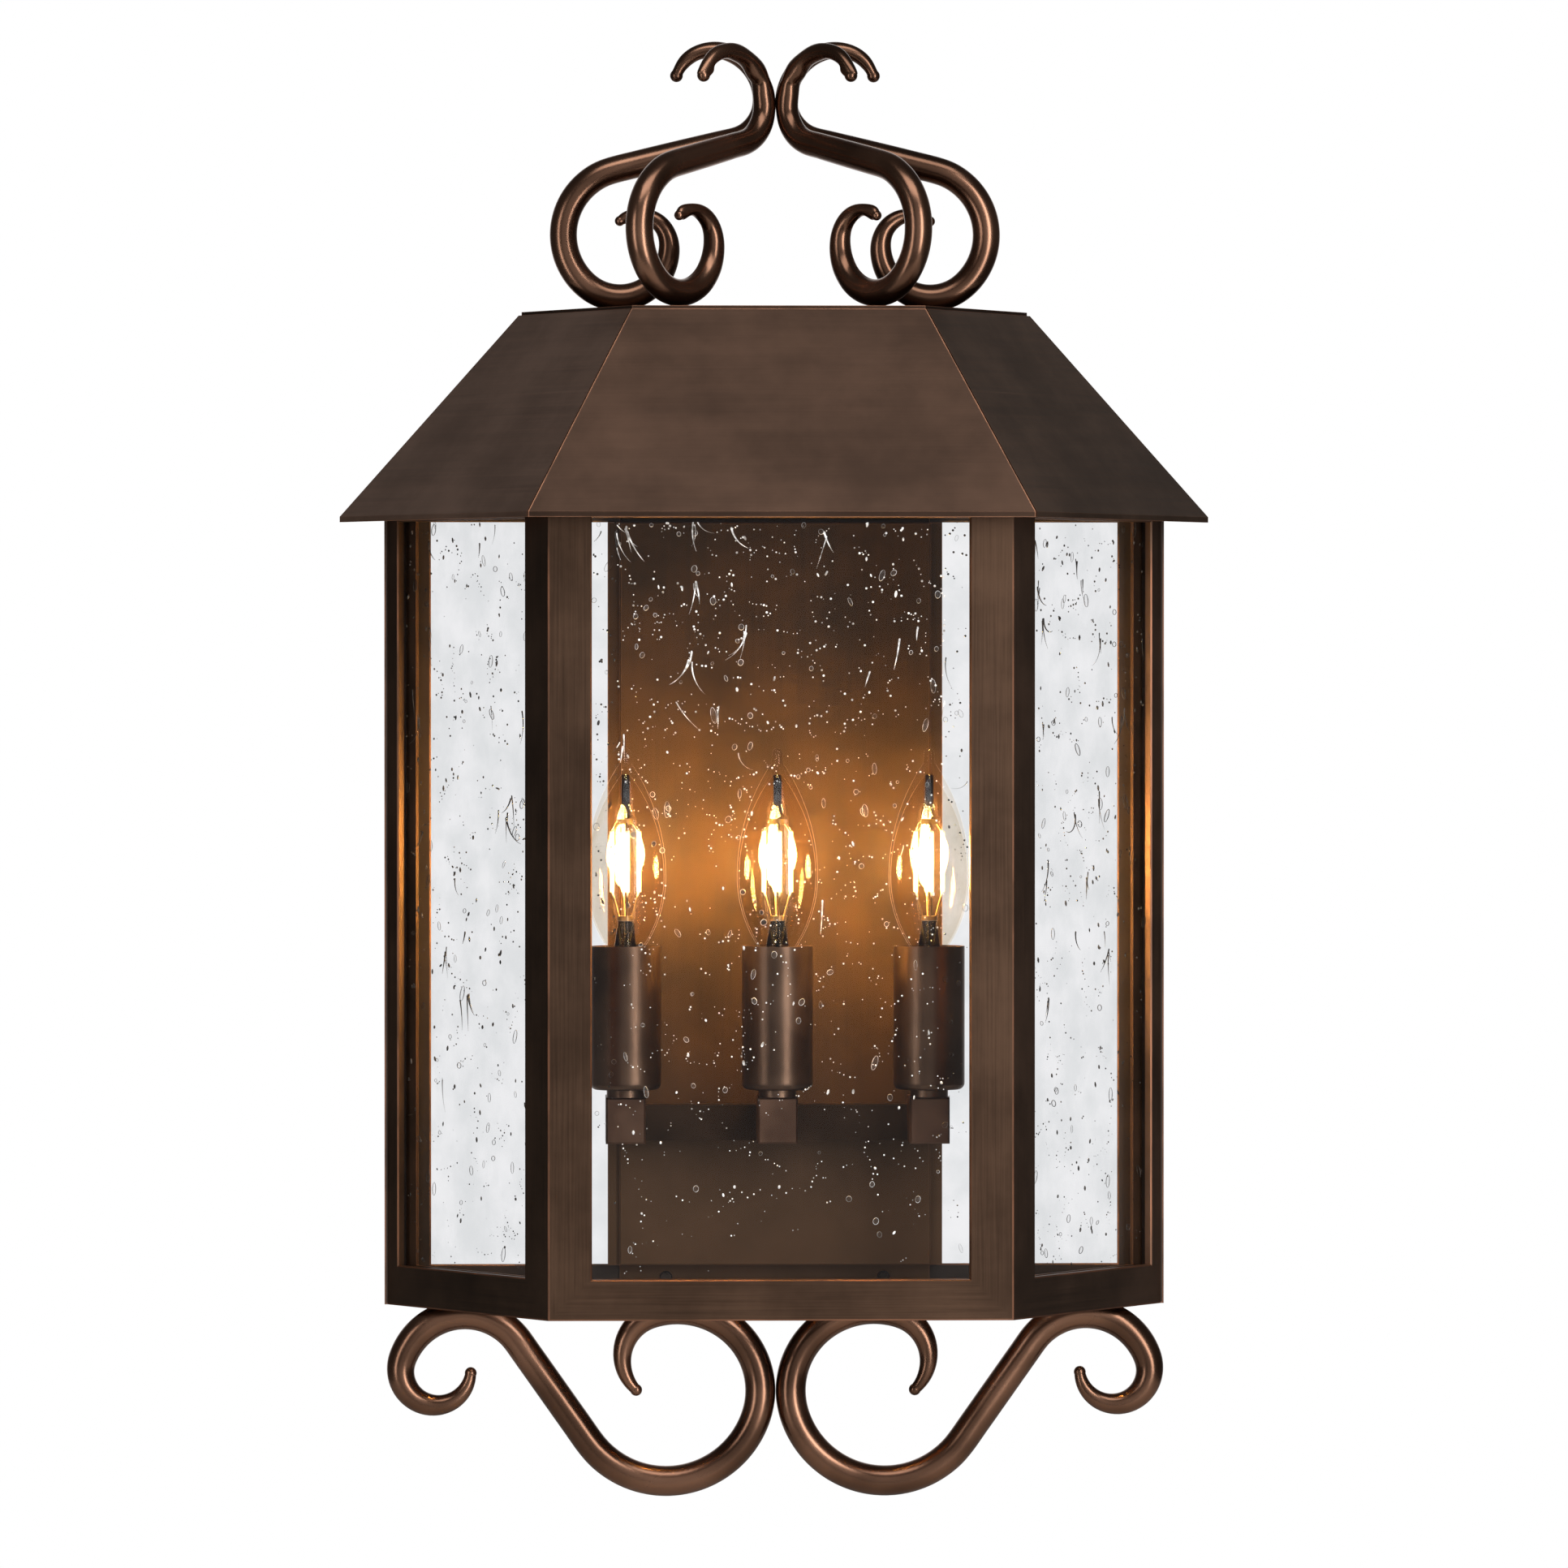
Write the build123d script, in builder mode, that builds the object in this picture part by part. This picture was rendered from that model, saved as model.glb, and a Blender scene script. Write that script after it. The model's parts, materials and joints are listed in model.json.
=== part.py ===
from build123d import *
import math
import os

# Outdoor wall lantern with three candle lamps, in millimetres.
# The origin is the centre of the wall box behind the wall plate, in the plane of the wall.
# +Z is up, +X is to the right seen from the front, and the front faces -Y.

os.makedirs("parts", exist_ok=True)

# Glazed body: half a hexagon in plan, with flat sheet frames
front_width = 200.0
rear_width = 344.0
body_depth = 111.0
bottom_rail = 17.6
window_height = 327.2
top_rail = 17.6
front_stile = 18.8
rear_stile = 11.0
frame_sheet = 3.2
frame_bevel = 0.6
mount_height = 130.0  # the wall box centre above the lower edge of the body

# Rear frame, flat on the wall
rear_sheet = 2.0
rear_frame_stile = 20.5

# Wall plate: a shallow pan with a stepped edge, closed at both ends
plate_margin = 2.2  # how far the face of the plate reaches past the axes of the outer lamps
plate_shoulder = 5.2
plate_standoff = 14.0
plate_step = 3.0
plate_sheet = 1.2
plate_bevel = 0.6
plate_tab = 11.6
plate_tab_screw_spacing = 96.0

# Glass and the rings behind it
glass_sheet = 3.0
glass_lap = 8.0
glass_play = 0.2
retainer_sheet = 1.2
retainer_leg = 8.0

# Clips that hold the rings
clip_sheet = 1.0
clip_width = 8.0
clip_foot = 6.6
clip_tongue = 5.0
clip_inset = 40.0  # from each end of a panel to its clips

# Roof
roof_overhang = 16.5
roof_height = 92.6
roof_top_depth = 74.0
roof_top_rear_width = 223.0
roof_sheet = 1.2
roof_top_sheet = 1.5
eave_lip = 2.4
eave_lap = 17.6  # how far the eave hangs below the top of the frames
hip_gap = 0.5
roof_play = 0.3
ceiling_sheet = 1.2
bracket_leg = 9.0
bracket_width = 14.0
bracket_sheet = 1.5
bracket_screw_edge = 3.2
bracket_screw_step = 3.5
front_bracket_inset = 65.0
rear_bracket_offset = 100.0

# Scroll rods on the roof
top_rod = 12.0
top_rod_tips = (5.2, 4.0)  # diameters at the end of the hook and at the end of the loop
top_rod_tapers = (130.0, 75.0)
top_hook = ((16.5, 72.0), (22.7, 90.0), (17.5, 76.0))
top_loop = ((29.5, -124.0), (22.0, -138.0), (13.5, -121.0))
top_start_heading = 108.0
rear_neck = 54.1
front_neck = 44.1
front_scroll_turn = 45.0
rear_scroll_depth = 9.0
rod_play = 0.1

# Scroll rods below the body, and the flat bar they hang from
bottom_rod = 13.3
bottom_rod_tips = (4.8, 4.8)
bottom_rod_tapers = (75.0, 75.0)
bottom_curl = ((15.4, -194.0), (28.9, -126.0))
bottom_neck = 53.3
bottom_loop = ((41.7, 127.0), (35.3, 129.0), (19.7, 115.0))
bottom_start_heading = -94.8
bottom_scroll_depth = 18.0
scroll_bar_width = 16.0
scroll_bar_thickness = 3.0
scroll_bar_rise = 5.0
rod_end_swell = 0.25  # a rod ends in a ball that stands this much proud of its tip
section_pitch = 7.0  # between the round sections that shape a scroll

# Lamps
lamp_spacing = 66.2
lamp_reach = 50.0  # lamp axis from the wall
arm_rise = 73.3  # underside of the arms above the lower edge of the body
arm_width = 17.3
arm_height = 20.2
arm_wall = 1.5
arm_bevel = 0.8
bar_height = 15.7
bar_depth = 12.0
bar_wall = 1.5
bar_end_step = 1.0
bar_boss = 6.0
bar_boss_drop = 5.0
bar_screw_spacing = 100.0
wire_hole = 6.0
nipple_diameter = 10.0
nipple_bore = 6.5
nut_thickness = 4.0
nut_flats = 12.0
thread_play = 0.05
collar_diameter = 16.5
collar_height = 3.2
cover_diameter = 31.0
cover_height = 62.6
cover_wall = 1.0
cover_rounding = 3.0
holder_diameter = 24.0
holder_stem_diameter = 15.0
holder_stem_length = 22.0
holder_stem_bevel = 4.5
holder_recess = 7.8  # top of the lampholder below the rim of the cover
holder_play = 0.1
holder_passage = 5.0
holder_floor = 4.0
nipple_engagement = 8.0
nipple_end_gap = 1.0
shell_wall = 0.6
shell_length = 17.0
contact_diameter = 5.0
contact_height = 2.2
lead_diameter = 3.0
lead_rise = 3.2  # lead axis above the floor of an arm
lead_bend = 5.0
lead_depth = 6.0  # lead axis from the wall, behind the wall plate
lead_entry = 5.0

# Bulb: a torpedo candle on a small screw cap, with heights above the tip of the cap
bulb_diameter = 35.2
bulb_widest = 55.1
bulb_length = 111.0
cap_thread_diameter = 11.7
cap_thread_pitch = 1.8
cap_thread_depth = 0.4
cap_thread_count = 6
cap_length = 20.0
cap_skirt_diameter = 14.5
cap_skirt_height = 2.7
cap_button_diameter = 4.0
cap_button_height = 1.2
cap_cone_height = 3.5
cap_play = 0.3
cap_rim = 0.5
neck_seat = 1.8
neck_height = 20.6
shoulder_diameter = 17.2
shoulder_height = 24.8
envelope_wall = 0.8
tip_neck_diameter = 5.0
tip_neck_height = 104.5
tip_ball = 4.6
stem_foot_diameter = 9.8
stem_top_diameter = 6.4
stem_height = 35.8
stem_bore = 1.2
exhaust_tube = 3.6
filament_diameter = 1.8
filament_length = 26.5
filament_start = 48.3
filament_circle = 12.0
filament_twist = 8.0
filament_count = 4
support_wire = 0.8
hub_diameter = 7.0
lower_hub_height = 2.0
upper_hub_height = 2.2
upper_hub_rise = 3.2  # upper hub above the top of the filaments

# Wall bracket and its screws
strap_height = 22.0
strap_sheet = 1.6
box_screw_spacing = 88.9
box_slot_width = 5.0
box_slot_length = 12.0
wire_inlet_diameter = 22.0
ear_height = 16.0
ear_depth = 9.0
side_screw_depth = 5.5
ear_play = 0.3

# Small screws
sheet_screw = 3.0
sheet_screw_head = 5.6
sheet_screw_head_height = 1.8
head_taper = 15.0
screw_bite = 2.6
screw_hole_spare = 0.3
lid_screw_proud = 1.0
side_screw = 4.0
side_screw_head = 7.0
side_screw_head_height = 2.0
ground_screw_offset = 26.0
block_width = 24.0
block_depth = 8.0
block_height = 13.0
block_pitch = 7.0

# Sizes that follow from the sizes above
side_angle = math.atan2(body_depth, (rear_width - front_width) / 2)
side_length = math.hypot(body_depth, (rear_width - front_width) / 2)
plate_face_width = 2 * (lamp_spacing + plate_margin)
body_bottom = -mount_height
window_bottom = body_bottom + bottom_rail
window_top = window_bottom + window_height
body_top = window_top + top_rail
body_height = body_top - body_bottom
window_middle = (window_bottom + window_top) / 2
front_y = -body_depth


def half_width(y, inset=0.0):
    """Half the width of the body in plan at depth y, to a line this far inside its side wall."""
    return rear_width / 2 + y / math.tan(side_angle) - inset / math.sin(side_angle)


def front_band(outer, inner):
    """Plan of a front sheet between two insets, mitred at both corners."""
    outer_y = front_y + outer
    inner_y = front_y + inner
    return [
        (-half_width(outer_y, outer), outer_y),
        (half_width(outer_y, outer), outer_y),
        (half_width(inner_y, inner), inner_y),
        (-half_width(inner_y, inner), inner_y),
    ]


def side_band(outer, inner, rear_y):
    """Plan of a right-hand side sheet between two insets, from the front mitre back to rear_y."""
    outer_y = front_y + outer
    inner_y = front_y + inner
    return [
        (half_width(outer_y, outer), outer_y),
        (half_width(rear_y, outer), rear_y),
        (half_width(rear_y, inner), rear_y),
        (half_width(inner_y, inner), inner_y),
    ]


# Each glazed wall has a plane on its outer face: x runs along the wall from its left end
# for the front and from its front end for the right side, and y runs up from the lower edge.
front_wall = Plane(origin=(-front_width / 2, front_y, body_bottom), x_dir=(1, 0, 0), z_dir=(0, -1, 0))
side_wall = Plane(
    origin=(front_width / 2, front_y, body_bottom),
    x_dir=(math.cos(side_angle), math.sin(side_angle), 0),
    z_dir=(math.sin(side_angle), -math.cos(side_angle), 0),
)
front_window = (front_stile, front_width - front_stile)
side_window = (front_stile, side_length - rear_stile)
window_rise = (bottom_rail, bottom_rail + window_height)


def span_centre(span):
    """Middle of a pair of limits."""
    return (span[0] + span[1]) / 2


def clip_planes(wall, length):
    """Planes of one wall's four clips, two pointing up from the bottom rail and two down from the top."""
    inward = wall.z_dir * -1
    planes = []
    for along in (clip_inset, length - clip_inset):
        low = wall.from_local_coords(Vector(along, 0, -frame_sheet))
        high = wall.from_local_coords(Vector(along, body_height, -frame_sheet))
        planes.append(Plane(origin=low, x_dir=inward, z_dir=wall.x_dir))
        planes.append(Plane(origin=high, x_dir=inward, z_dir=wall.x_dir * -1))
    return planes


def bracket_planes(wall, spots):
    """Planes of one wall's roof brackets, at the top of the frame's inner face."""
    planes = []
    for along in spots:
        high = wall.from_local_coords(Vector(along, body_height, -frame_sheet))
        planes.append(Plane(origin=high, x_dir=wall.z_dir * -1, z_dir=wall.x_dir))
    return planes


def facing(place, across, up, along, direction):
    """A plane at a point given in another plane's x, y and z, facing along a direction."""
    return Plane(origin=place.from_local_coords(Vector(across, up, along)), z_dir=direction)


# Bent clips: the foot is screwed to the frame, the riser passes the edge of the pane
clip_riser = bottom_rail - glass_lap - glass_play - clip_sheet
clip_foot_start = clip_riser - clip_foot
clip_screw_height = clip_foot_start + clip_foot / 2
front_clips = clip_planes(front_wall, front_width)
side_clips = clip_planes(side_wall, side_length)
clip_screw_planes = [facing(place, clip_sheet, clip_screw_height, 0, place.x_dir) for place in front_clips]
side_clip_screw_planes = [facing(place, clip_sheet, clip_screw_height, 0, place.x_dir) for place in side_clips]

# Roof brackets: one leg on the frame, one under the ceiling plate
front_brackets = bracket_planes(front_wall, (front_bracket_inset, front_width - front_bracket_inset))
side_brackets = bracket_planes(side_wall, (side_length / 2,))
rear_brackets = [
    Plane(origin=(x, -rear_sheet, body_top), x_dir=(0, -1, 0), z_dir=(-1, 0, 0))
    for x in (-rear_bracket_offset, rear_bracket_offset)
]


def wall_screw_planes(brackets):
    """Seats of the screws that go through the brackets into the frames."""
    return [
        facing(place, bracket_sheet, -bracket_leg + bracket_screw_edge, -bracket_screw_step, place.x_dir)
        for place in brackets
    ]


def lid_screw_planes(brackets):
    """Seats of the screws that go up through the brackets into the ceiling plate."""
    return [
        facing(place, bracket_leg - bracket_screw_edge, -bracket_sheet, bracket_screw_step, place.y_dir * -1)
        for place in brackets
    ]


def drill(places, depth):
    """Blank cylinders to cut as holes: each starts at a screw's seat and runs the way of its shank."""
    with BuildPart() as drills:
        for place in places:
            with BuildSketch(place):
                Circle(sheet_screw / 2 + thread_play)
            extrude(amount=-depth)
    return drills.part


def wall_frame(plan, wall, window, clip_holes, bracket_holes):
    """One flat frame: the plan raised to the full height, with a bevelled window and blind screw holes."""
    with BuildPart() as frame:
        with BuildSketch(Plane.XY.offset(body_bottom)):
            Polygon(*plan, align=None)
        extrude(amount=body_height)
        with BuildSketch(wall):
            with Locations((span_centre(window), span_centre(window_rise))):
                Rectangle(window[1] - window[0], window_height)
        extrude(amount=-2 * frame_sheet, mode=Mode.SUBTRACT)
        outer_face = frame.faces().filter_by(lambda face: abs(wall.to_local_coords(face.center()).Z) < 0.01)
        chamfer(outer_face[0].inner_wires()[0].edges(), frame_bevel)
        add(drill(clip_holes, clip_sheet + screw_bite + screw_hole_spare), mode=Mode.SUBTRACT)
        add(drill(bracket_holes, bracket_sheet + screw_bite + screw_hole_spare), mode=Mode.SUBTRACT)
    return frame


front_frame = wall_frame(
    front_band(0, frame_sheet),
    front_wall,
    front_window,
    clip_screw_planes,
    wall_screw_planes(front_brackets),
)
front_frame.part.label = "front_frame"
export_step(front_frame.part, "parts/front_frame.step")

side_frame_right = wall_frame(
    side_band(0, frame_sheet, -rear_sheet),
    side_wall,
    side_window,
    side_clip_screw_planes,
    wall_screw_planes(side_brackets),
)
side_frame_right.part.label = "side_frame_right"
export_step(side_frame_right.part, "parts/side_frame_right.step")


def mirrored(piece):
    """The left-hand twin of a right-hand piece."""
    with BuildPart() as twin:
        mirror(piece.part, about=Plane.YZ)
    return twin


side_frame_left = mirrored(side_frame_right)
side_frame_left.part.label = "side_frame_left"
export_step(side_frame_left.part, "parts/side_frame_left.step")

# Rear frame: one sheet with a window from stile to stile
tab_screw_planes = [
    Plane(origin=(x, -rear_sheet - plate_sheet, z), z_dir=(0, -1, 0))
    for x in (-plate_tab_screw_spacing / 2, plate_tab_screw_spacing / 2)
    for z in (window_bottom - plate_tab / 2, window_top + plate_tab / 2)
]
with BuildPart() as rear_frame:
    with BuildSketch(Plane.XZ):
        with Locations((0, (body_bottom + body_top) / 2)):
            Rectangle(rear_width, body_height)
        with Locations((0, window_middle)):
            Rectangle(rear_width - 2 * rear_frame_stile, window_height, mode=Mode.SUBTRACT)
    extrude(amount=rear_sheet)
    front_face = rear_frame.faces().sort_by(Axis.Y)[0]
    chamfer(front_face.inner_wires()[0].edges(), frame_bevel)
    rear_holes = drill(tab_screw_planes + wall_screw_planes(rear_brackets), bracket_sheet + 2 * rear_sheet)
    add(rear_holes, mode=Mode.SUBTRACT)
rear_frame.part.label = "rear_frame"
export_step(rear_frame.part, "parts/rear_frame.step")

# Glass and its rings lie behind the frames, one sheet after another
glass_outer = frame_sheet + glass_play
glass_inner = glass_outer + glass_sheet
ring_outer = glass_inner + glass_play
ring_inner = ring_outer + retainer_sheet


def side_reach(inset):
    """How far a sheet at this inset can run along the side wall before it meets the rear frame."""
    room = body_depth - rear_sheet - glass_play - inset * math.cos(side_angle)
    return room / math.sin(side_angle)


def glass_pane(wall, limits):
    """A pane that laps behind its frame by glass_lap at top and bottom."""
    with BuildPart() as pane:
        with BuildSketch(wall.offset(-glass_outer)):
            with Locations((span_centre(limits), span_centre(window_rise))):
                Rectangle(limits[1] - limits[0], window_height + 2 * glass_lap)
        extrude(amount=-glass_sheet)
        chamfer(pane.edges(), glass_play)
    return pane


def glass_ring(wall, limits):
    """The ring behind a pane, as tall as the pane."""
    tall = window_height + 2 * glass_lap
    with BuildPart() as ring:
        with BuildSketch(wall.offset(-ring_outer)):
            with Locations((span_centre(limits), span_centre(window_rise))):
                Rectangle(limits[1] - limits[0], tall)
                Rectangle(
                    limits[1] - limits[0] - 2 * retainer_leg, tall - 2 * retainer_leg, mode=Mode.SUBTRACT
                )
        extrude(amount=-retainer_sheet)
    return ring


front_limits = (front_window[0] - glass_lap, front_window[1] + glass_lap)
pane_limits = (side_window[0] - glass_lap, side_reach(glass_inner))
ring_limits = (side_window[0] - glass_lap, side_reach(ring_inner))

glass_front = glass_pane(front_wall, front_limits)
glass_front.part.label = "glass_front"
export_step(glass_front.part, "parts/glass_front.step")

glass_right = glass_pane(side_wall, pane_limits)
glass_right.part.label = "glass_right"
export_step(glass_right.part, "parts/glass_right.step")

glass_left = mirrored(glass_right)
glass_left.part.label = "glass_left"
export_step(glass_left.part, "parts/glass_left.step")

retainer_front = glass_ring(front_wall, front_limits)
retainer_front.part.label = "retainer_front"
export_step(retainer_front.part, "parts/retainer_front.step")

retainer_right = glass_ring(side_wall, ring_limits)
retainer_right.part.label = "retainer_right"
export_step(retainer_right.part, "parts/retainer_right.step")

retainer_left = mirrored(retainer_right)
retainer_left.part.label = "retainer_left"
export_step(retainer_left.part, "parts/retainer_left.step")


def screw_set(places, diameter, length, head_diameter, head_height):
    """Pan-head screws: each head stands on its plane and its shank runs back through it."""
    with BuildPart() as screws:
        for place in places:
            with BuildSketch(place):
                Circle(head_diameter / 2)
            extrude(amount=head_height, taper=head_taper)
            with BuildSketch(place):
                Circle(diameter / 2)
            extrude(amount=-length)
    return screws


def sheet_metal_screws(places, length):
    """The small screws used all over the lantern."""
    return screw_set(places, sheet_screw, length, sheet_screw_head, sheet_screw_head_height)


def clip_bodies(places):
    """Bent strips: x points into the lantern from the frame, y away from the edge of the rail."""
    tongue_face = ring_inner - frame_sheet + glass_play
    tongue_end = clip_riser + clip_sheet + clip_tongue
    outline = [
        (0, clip_foot_start),
        (clip_sheet, clip_foot_start),
        (clip_sheet, clip_riser),
        (tongue_face + clip_sheet, clip_riser),
        (tongue_face + clip_sheet, tongue_end),
        (tongue_face, tongue_end),
        (tongue_face, clip_riser + clip_sheet),
        (0, clip_riser + clip_sheet),
    ]
    with BuildPart() as clips:
        for place in places:
            with BuildSketch(place):
                Polygon(*outline, align=None)
            extrude(amount=clip_width / 2, both=True)
        seats = [facing(place, clip_sheet, clip_screw_height, 0, place.x_dir) for place in places]
        add(drill(seats, 2 * clip_sheet), mode=Mode.SUBTRACT)
    return clips


right_clips = clip_bodies(side_clips)
with BuildPart() as glass_clips:
    add(clip_bodies(front_clips).part)
    add(right_clips.part)
    mirror(right_clips.part, about=Plane.YZ)
glass_clips.part.label = "glass_clips"
export_step(glass_clips.part, "parts/glass_clips.step")

clip_screw_length = clip_sheet + screw_bite
right_clip_screws = sheet_metal_screws(side_clip_screw_planes, clip_screw_length)
with BuildPart() as clip_screws:
    add(sheet_metal_screws(clip_screw_planes, clip_screw_length).part)
    add(right_clip_screws.part)
    mirror(right_clip_screws.part, about=Plane.YZ)
clip_screws.part.label = "clip_screws"
export_step(clip_screws.part, "parts/clip_screws.step")

# Roof sheets lean on planes that run from the eave outline to the top outline
lip_top = body_top - eave_lap + eave_lip
roof_top = body_top - eave_lap + roof_height
roof_rise = roof_top - lip_top
front_run = body_depth + roof_overhang - roof_top_depth
top_side_inset = (rear_width - roof_top_rear_width) / 2 * math.sin(side_angle)
side_run = roof_overhang + top_side_inset
front_slope = math.atan2(roof_rise, front_run)
side_slope = math.atan2(roof_rise, side_run)


def roof_corner(z, depth):
    """Front right corner of the roof in plan at height z, at this depth below its outer faces."""
    climb = (z - lip_top) / roof_rise
    y = -(body_depth + roof_overhang) + climb * front_run + depth / math.sin(front_slope)
    return half_width(y, roof_inset(z, depth)), y


def roof_inset(z, depth):
    """Inset of the roof's side sheet from the body's side wall at height z."""
    climb = (z - lip_top) / roof_rise
    return -roof_overhang + climb * side_run + depth / math.sin(side_slope)


def roof_front_plan(z):
    """Plan of the roof's front sheet at height z, mitred at the hips and held back by the hip gap."""
    outer_x, outer_y = roof_corner(z, 0)
    inner_x, inner_y = roof_corner(z, roof_sheet)
    return [
        (-outer_x + hip_gap, outer_y),
        (outer_x - hip_gap, outer_y),
        (inner_x - hip_gap, inner_y),
        (-inner_x + hip_gap, inner_y),
    ]


def roof_side_plan(z):
    """Plan of the roof's right side sheet at height z, from the hip back to the wall."""
    return [
        roof_corner(z, 0),
        (half_width(0, roof_inset(z, 0)), 0),
        (half_width(0, roof_inset(z, roof_sheet)), 0),
        roof_corner(z, roof_sheet),
    ]


def roof_panel(plan_at):
    """A sloping sheet from the eave to the underside of the top plate, with its upright lip."""
    panel_top = roof_top - roof_top_sheet
    with BuildPart() as panel:
        for z in (lip_top, panel_top):
            with BuildSketch(Plane.XY.offset(z)):
                Polygon(*plan_at(z), align=None)
        loft(ruled=True)
        with BuildSketch(Plane.XY.offset(lip_top)):
            Polygon(*plan_at(lip_top), align=None)
        extrude(amount=-eave_lip)
    return panel


roof_front = roof_panel(roof_front_plan)
roof_front.part.label = "roof_front"
export_step(roof_front.part, "parts/roof_front.step")

roof_right = roof_panel(roof_side_plan)
roof_right.part.label = "roof_right"
export_step(roof_right.part, "parts/roof_right.step")

roof_left = mirrored(roof_right)
roof_left.part.label = "roof_left"
export_step(roof_left.part, "parts/roof_left.step")

with BuildPart() as roof_top_plate:
    top_corner_x, top_corner_y = roof_corner(roof_top, 0)
    with BuildSketch(Plane.XY.offset(roof_top)):
        Polygon(
            (-top_corner_x, top_corner_y),
            (top_corner_x, top_corner_y),
            (roof_top_rear_width / 2, 0),
            (-roof_top_rear_width / 2, 0),
            align=None,
        )
    extrude(amount=-roof_top_sheet)
roof_top_plate.part.label = "roof_top_plate"
export_step(roof_top_plate.part, "parts/roof_top_plate.step")


def roof_back_half(z):
    """Half the width of the roof's back sheet at height z, just inside the side sheets."""
    return half_width(-roof_sheet, roof_inset(z, roof_sheet)) - roof_play


with BuildPart() as roof_back:
    back_bottom = body_top + glass_play
    back_top = roof_top - roof_top_sheet
    with BuildSketch(Plane.XZ):
        Polygon(
            (-roof_back_half(back_bottom), back_bottom),
            (roof_back_half(back_bottom), back_bottom),
            (roof_back_half(back_top), back_top),
            (-roof_back_half(back_top), back_top),
            align=None,
        )
    extrude(amount=roof_sheet)
roof_back.part.label = "roof_back"
export_step(roof_back.part, "parts/roof_back.step")

# Ceiling plate on top of the frames, let in to the roof all round
right_lid_seats = lid_screw_planes(side_brackets)
centre_lid_seats = lid_screw_planes(front_brackets) + lid_screw_planes(rear_brackets)
with BuildPart() as ceiling_plate:
    ceiling_rear = -roof_sheet - glass_play
    ceiling_x, ceiling_y = roof_corner(body_top + ceiling_sheet, roof_sheet + roof_play)
    ceiling_inset = roof_inset(body_top + ceiling_sheet, roof_sheet + roof_play)
    with BuildSketch(Plane.XY.offset(body_top)):
        Polygon(
            (-ceiling_x, ceiling_y),
            (ceiling_x, ceiling_y),
            (half_width(ceiling_rear, ceiling_inset), ceiling_rear),
            (-half_width(ceiling_rear, ceiling_inset), ceiling_rear),
            align=None,
        )
    extrude(amount=ceiling_sheet)
    lid_drill = drill(right_lid_seats, bracket_sheet + 2 * ceiling_sheet)
    add(drill(centre_lid_seats, bracket_sheet + 2 * ceiling_sheet), mode=Mode.SUBTRACT)
    add(lid_drill, mode=Mode.SUBTRACT)
    mirror(lid_drill, about=Plane.YZ, mode=Mode.SUBTRACT)
ceiling_plate.part.label = "ceiling_plate"
export_step(ceiling_plate.part, "parts/ceiling_plate.step")


def bracket_bodies(places):
    """Angle brackets: x points into the lantern, y up to the underside of the ceiling plate."""
    with BuildPart() as brackets:
        for place in places:
            with BuildSketch(place):
                Polygon(
                    (0, 0),
                    (bracket_leg, 0),
                    (bracket_leg, -bracket_sheet),
                    (bracket_sheet, -bracket_sheet),
                    (bracket_sheet, -bracket_leg),
                    (0, -bracket_leg),
                    align=None,
                )
            extrude(amount=bracket_width / 2, both=True)
        holes = drill(wall_screw_planes(places) + lid_screw_planes(places), 2 * bracket_sheet)
        add(holes, mode=Mode.SUBTRACT)
    return brackets


side_bracket_bodies = bracket_bodies(side_brackets)
with BuildPart() as roof_brackets:
    add(bracket_bodies(front_brackets).part)
    add(bracket_bodies(rear_brackets).part)
    add(side_bracket_bodies.part)
    mirror(side_bracket_bodies.part, about=Plane.YZ)
roof_brackets.part.label = "roof_brackets"
export_step(roof_brackets.part, "parts/roof_brackets.step")

wall_screw_length = bracket_sheet + min(screw_bite, rear_sheet) - glass_play
lid_screw_length = bracket_sheet + ceiling_sheet + lid_screw_proud
side_roof_screws = [
    sheet_metal_screws(wall_screw_planes(side_brackets), wall_screw_length),
    sheet_metal_screws(right_lid_seats, lid_screw_length),
]
with BuildPart() as roof_screws:
    add(sheet_metal_screws(wall_screw_planes(front_brackets + rear_brackets), wall_screw_length).part)
    add(sheet_metal_screws(centre_lid_seats, lid_screw_length).part)
    for screws in side_roof_screws:
        add(screws.part)
        mirror(screws.part, about=Plane.YZ)
roof_screws.part.label = "roof_screws"
export_step(roof_screws.part, "parts/roof_screws.step")


def scroll_line(start_heading, first_arcs, neck, last_arcs):
    """Flat centreline of a scroll: arcs, a straight neck and arcs again; each arc is (radius, turn)."""
    heading = Vector(1, 0).rotate(Axis.Z, start_heading)
    with BuildLine() as line:
        run = JernArc((0, 0), heading, *first_arcs[0])
        for radius, turn in first_arcs[1:]:
            run = JernArc(run @ 1, run % 1, radius, turn)
        run = Line(run @ 1, (run @ 1) + (run % 1) * neck)
        for radius, turn in last_arcs:
            run = JernArc(run @ 1, run % 1, radius, turn)
    return line.wires()[0]


def rod_width(distances, diameter, tips, tapers):
    """Width of a rod at these distances from its two ends."""
    width = diameter
    for distance, tip, taper in zip(distances, tips, tapers):
        width -= (diameter - tip) * max(0, 1 - distance / taper) ** 2
    return width


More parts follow.
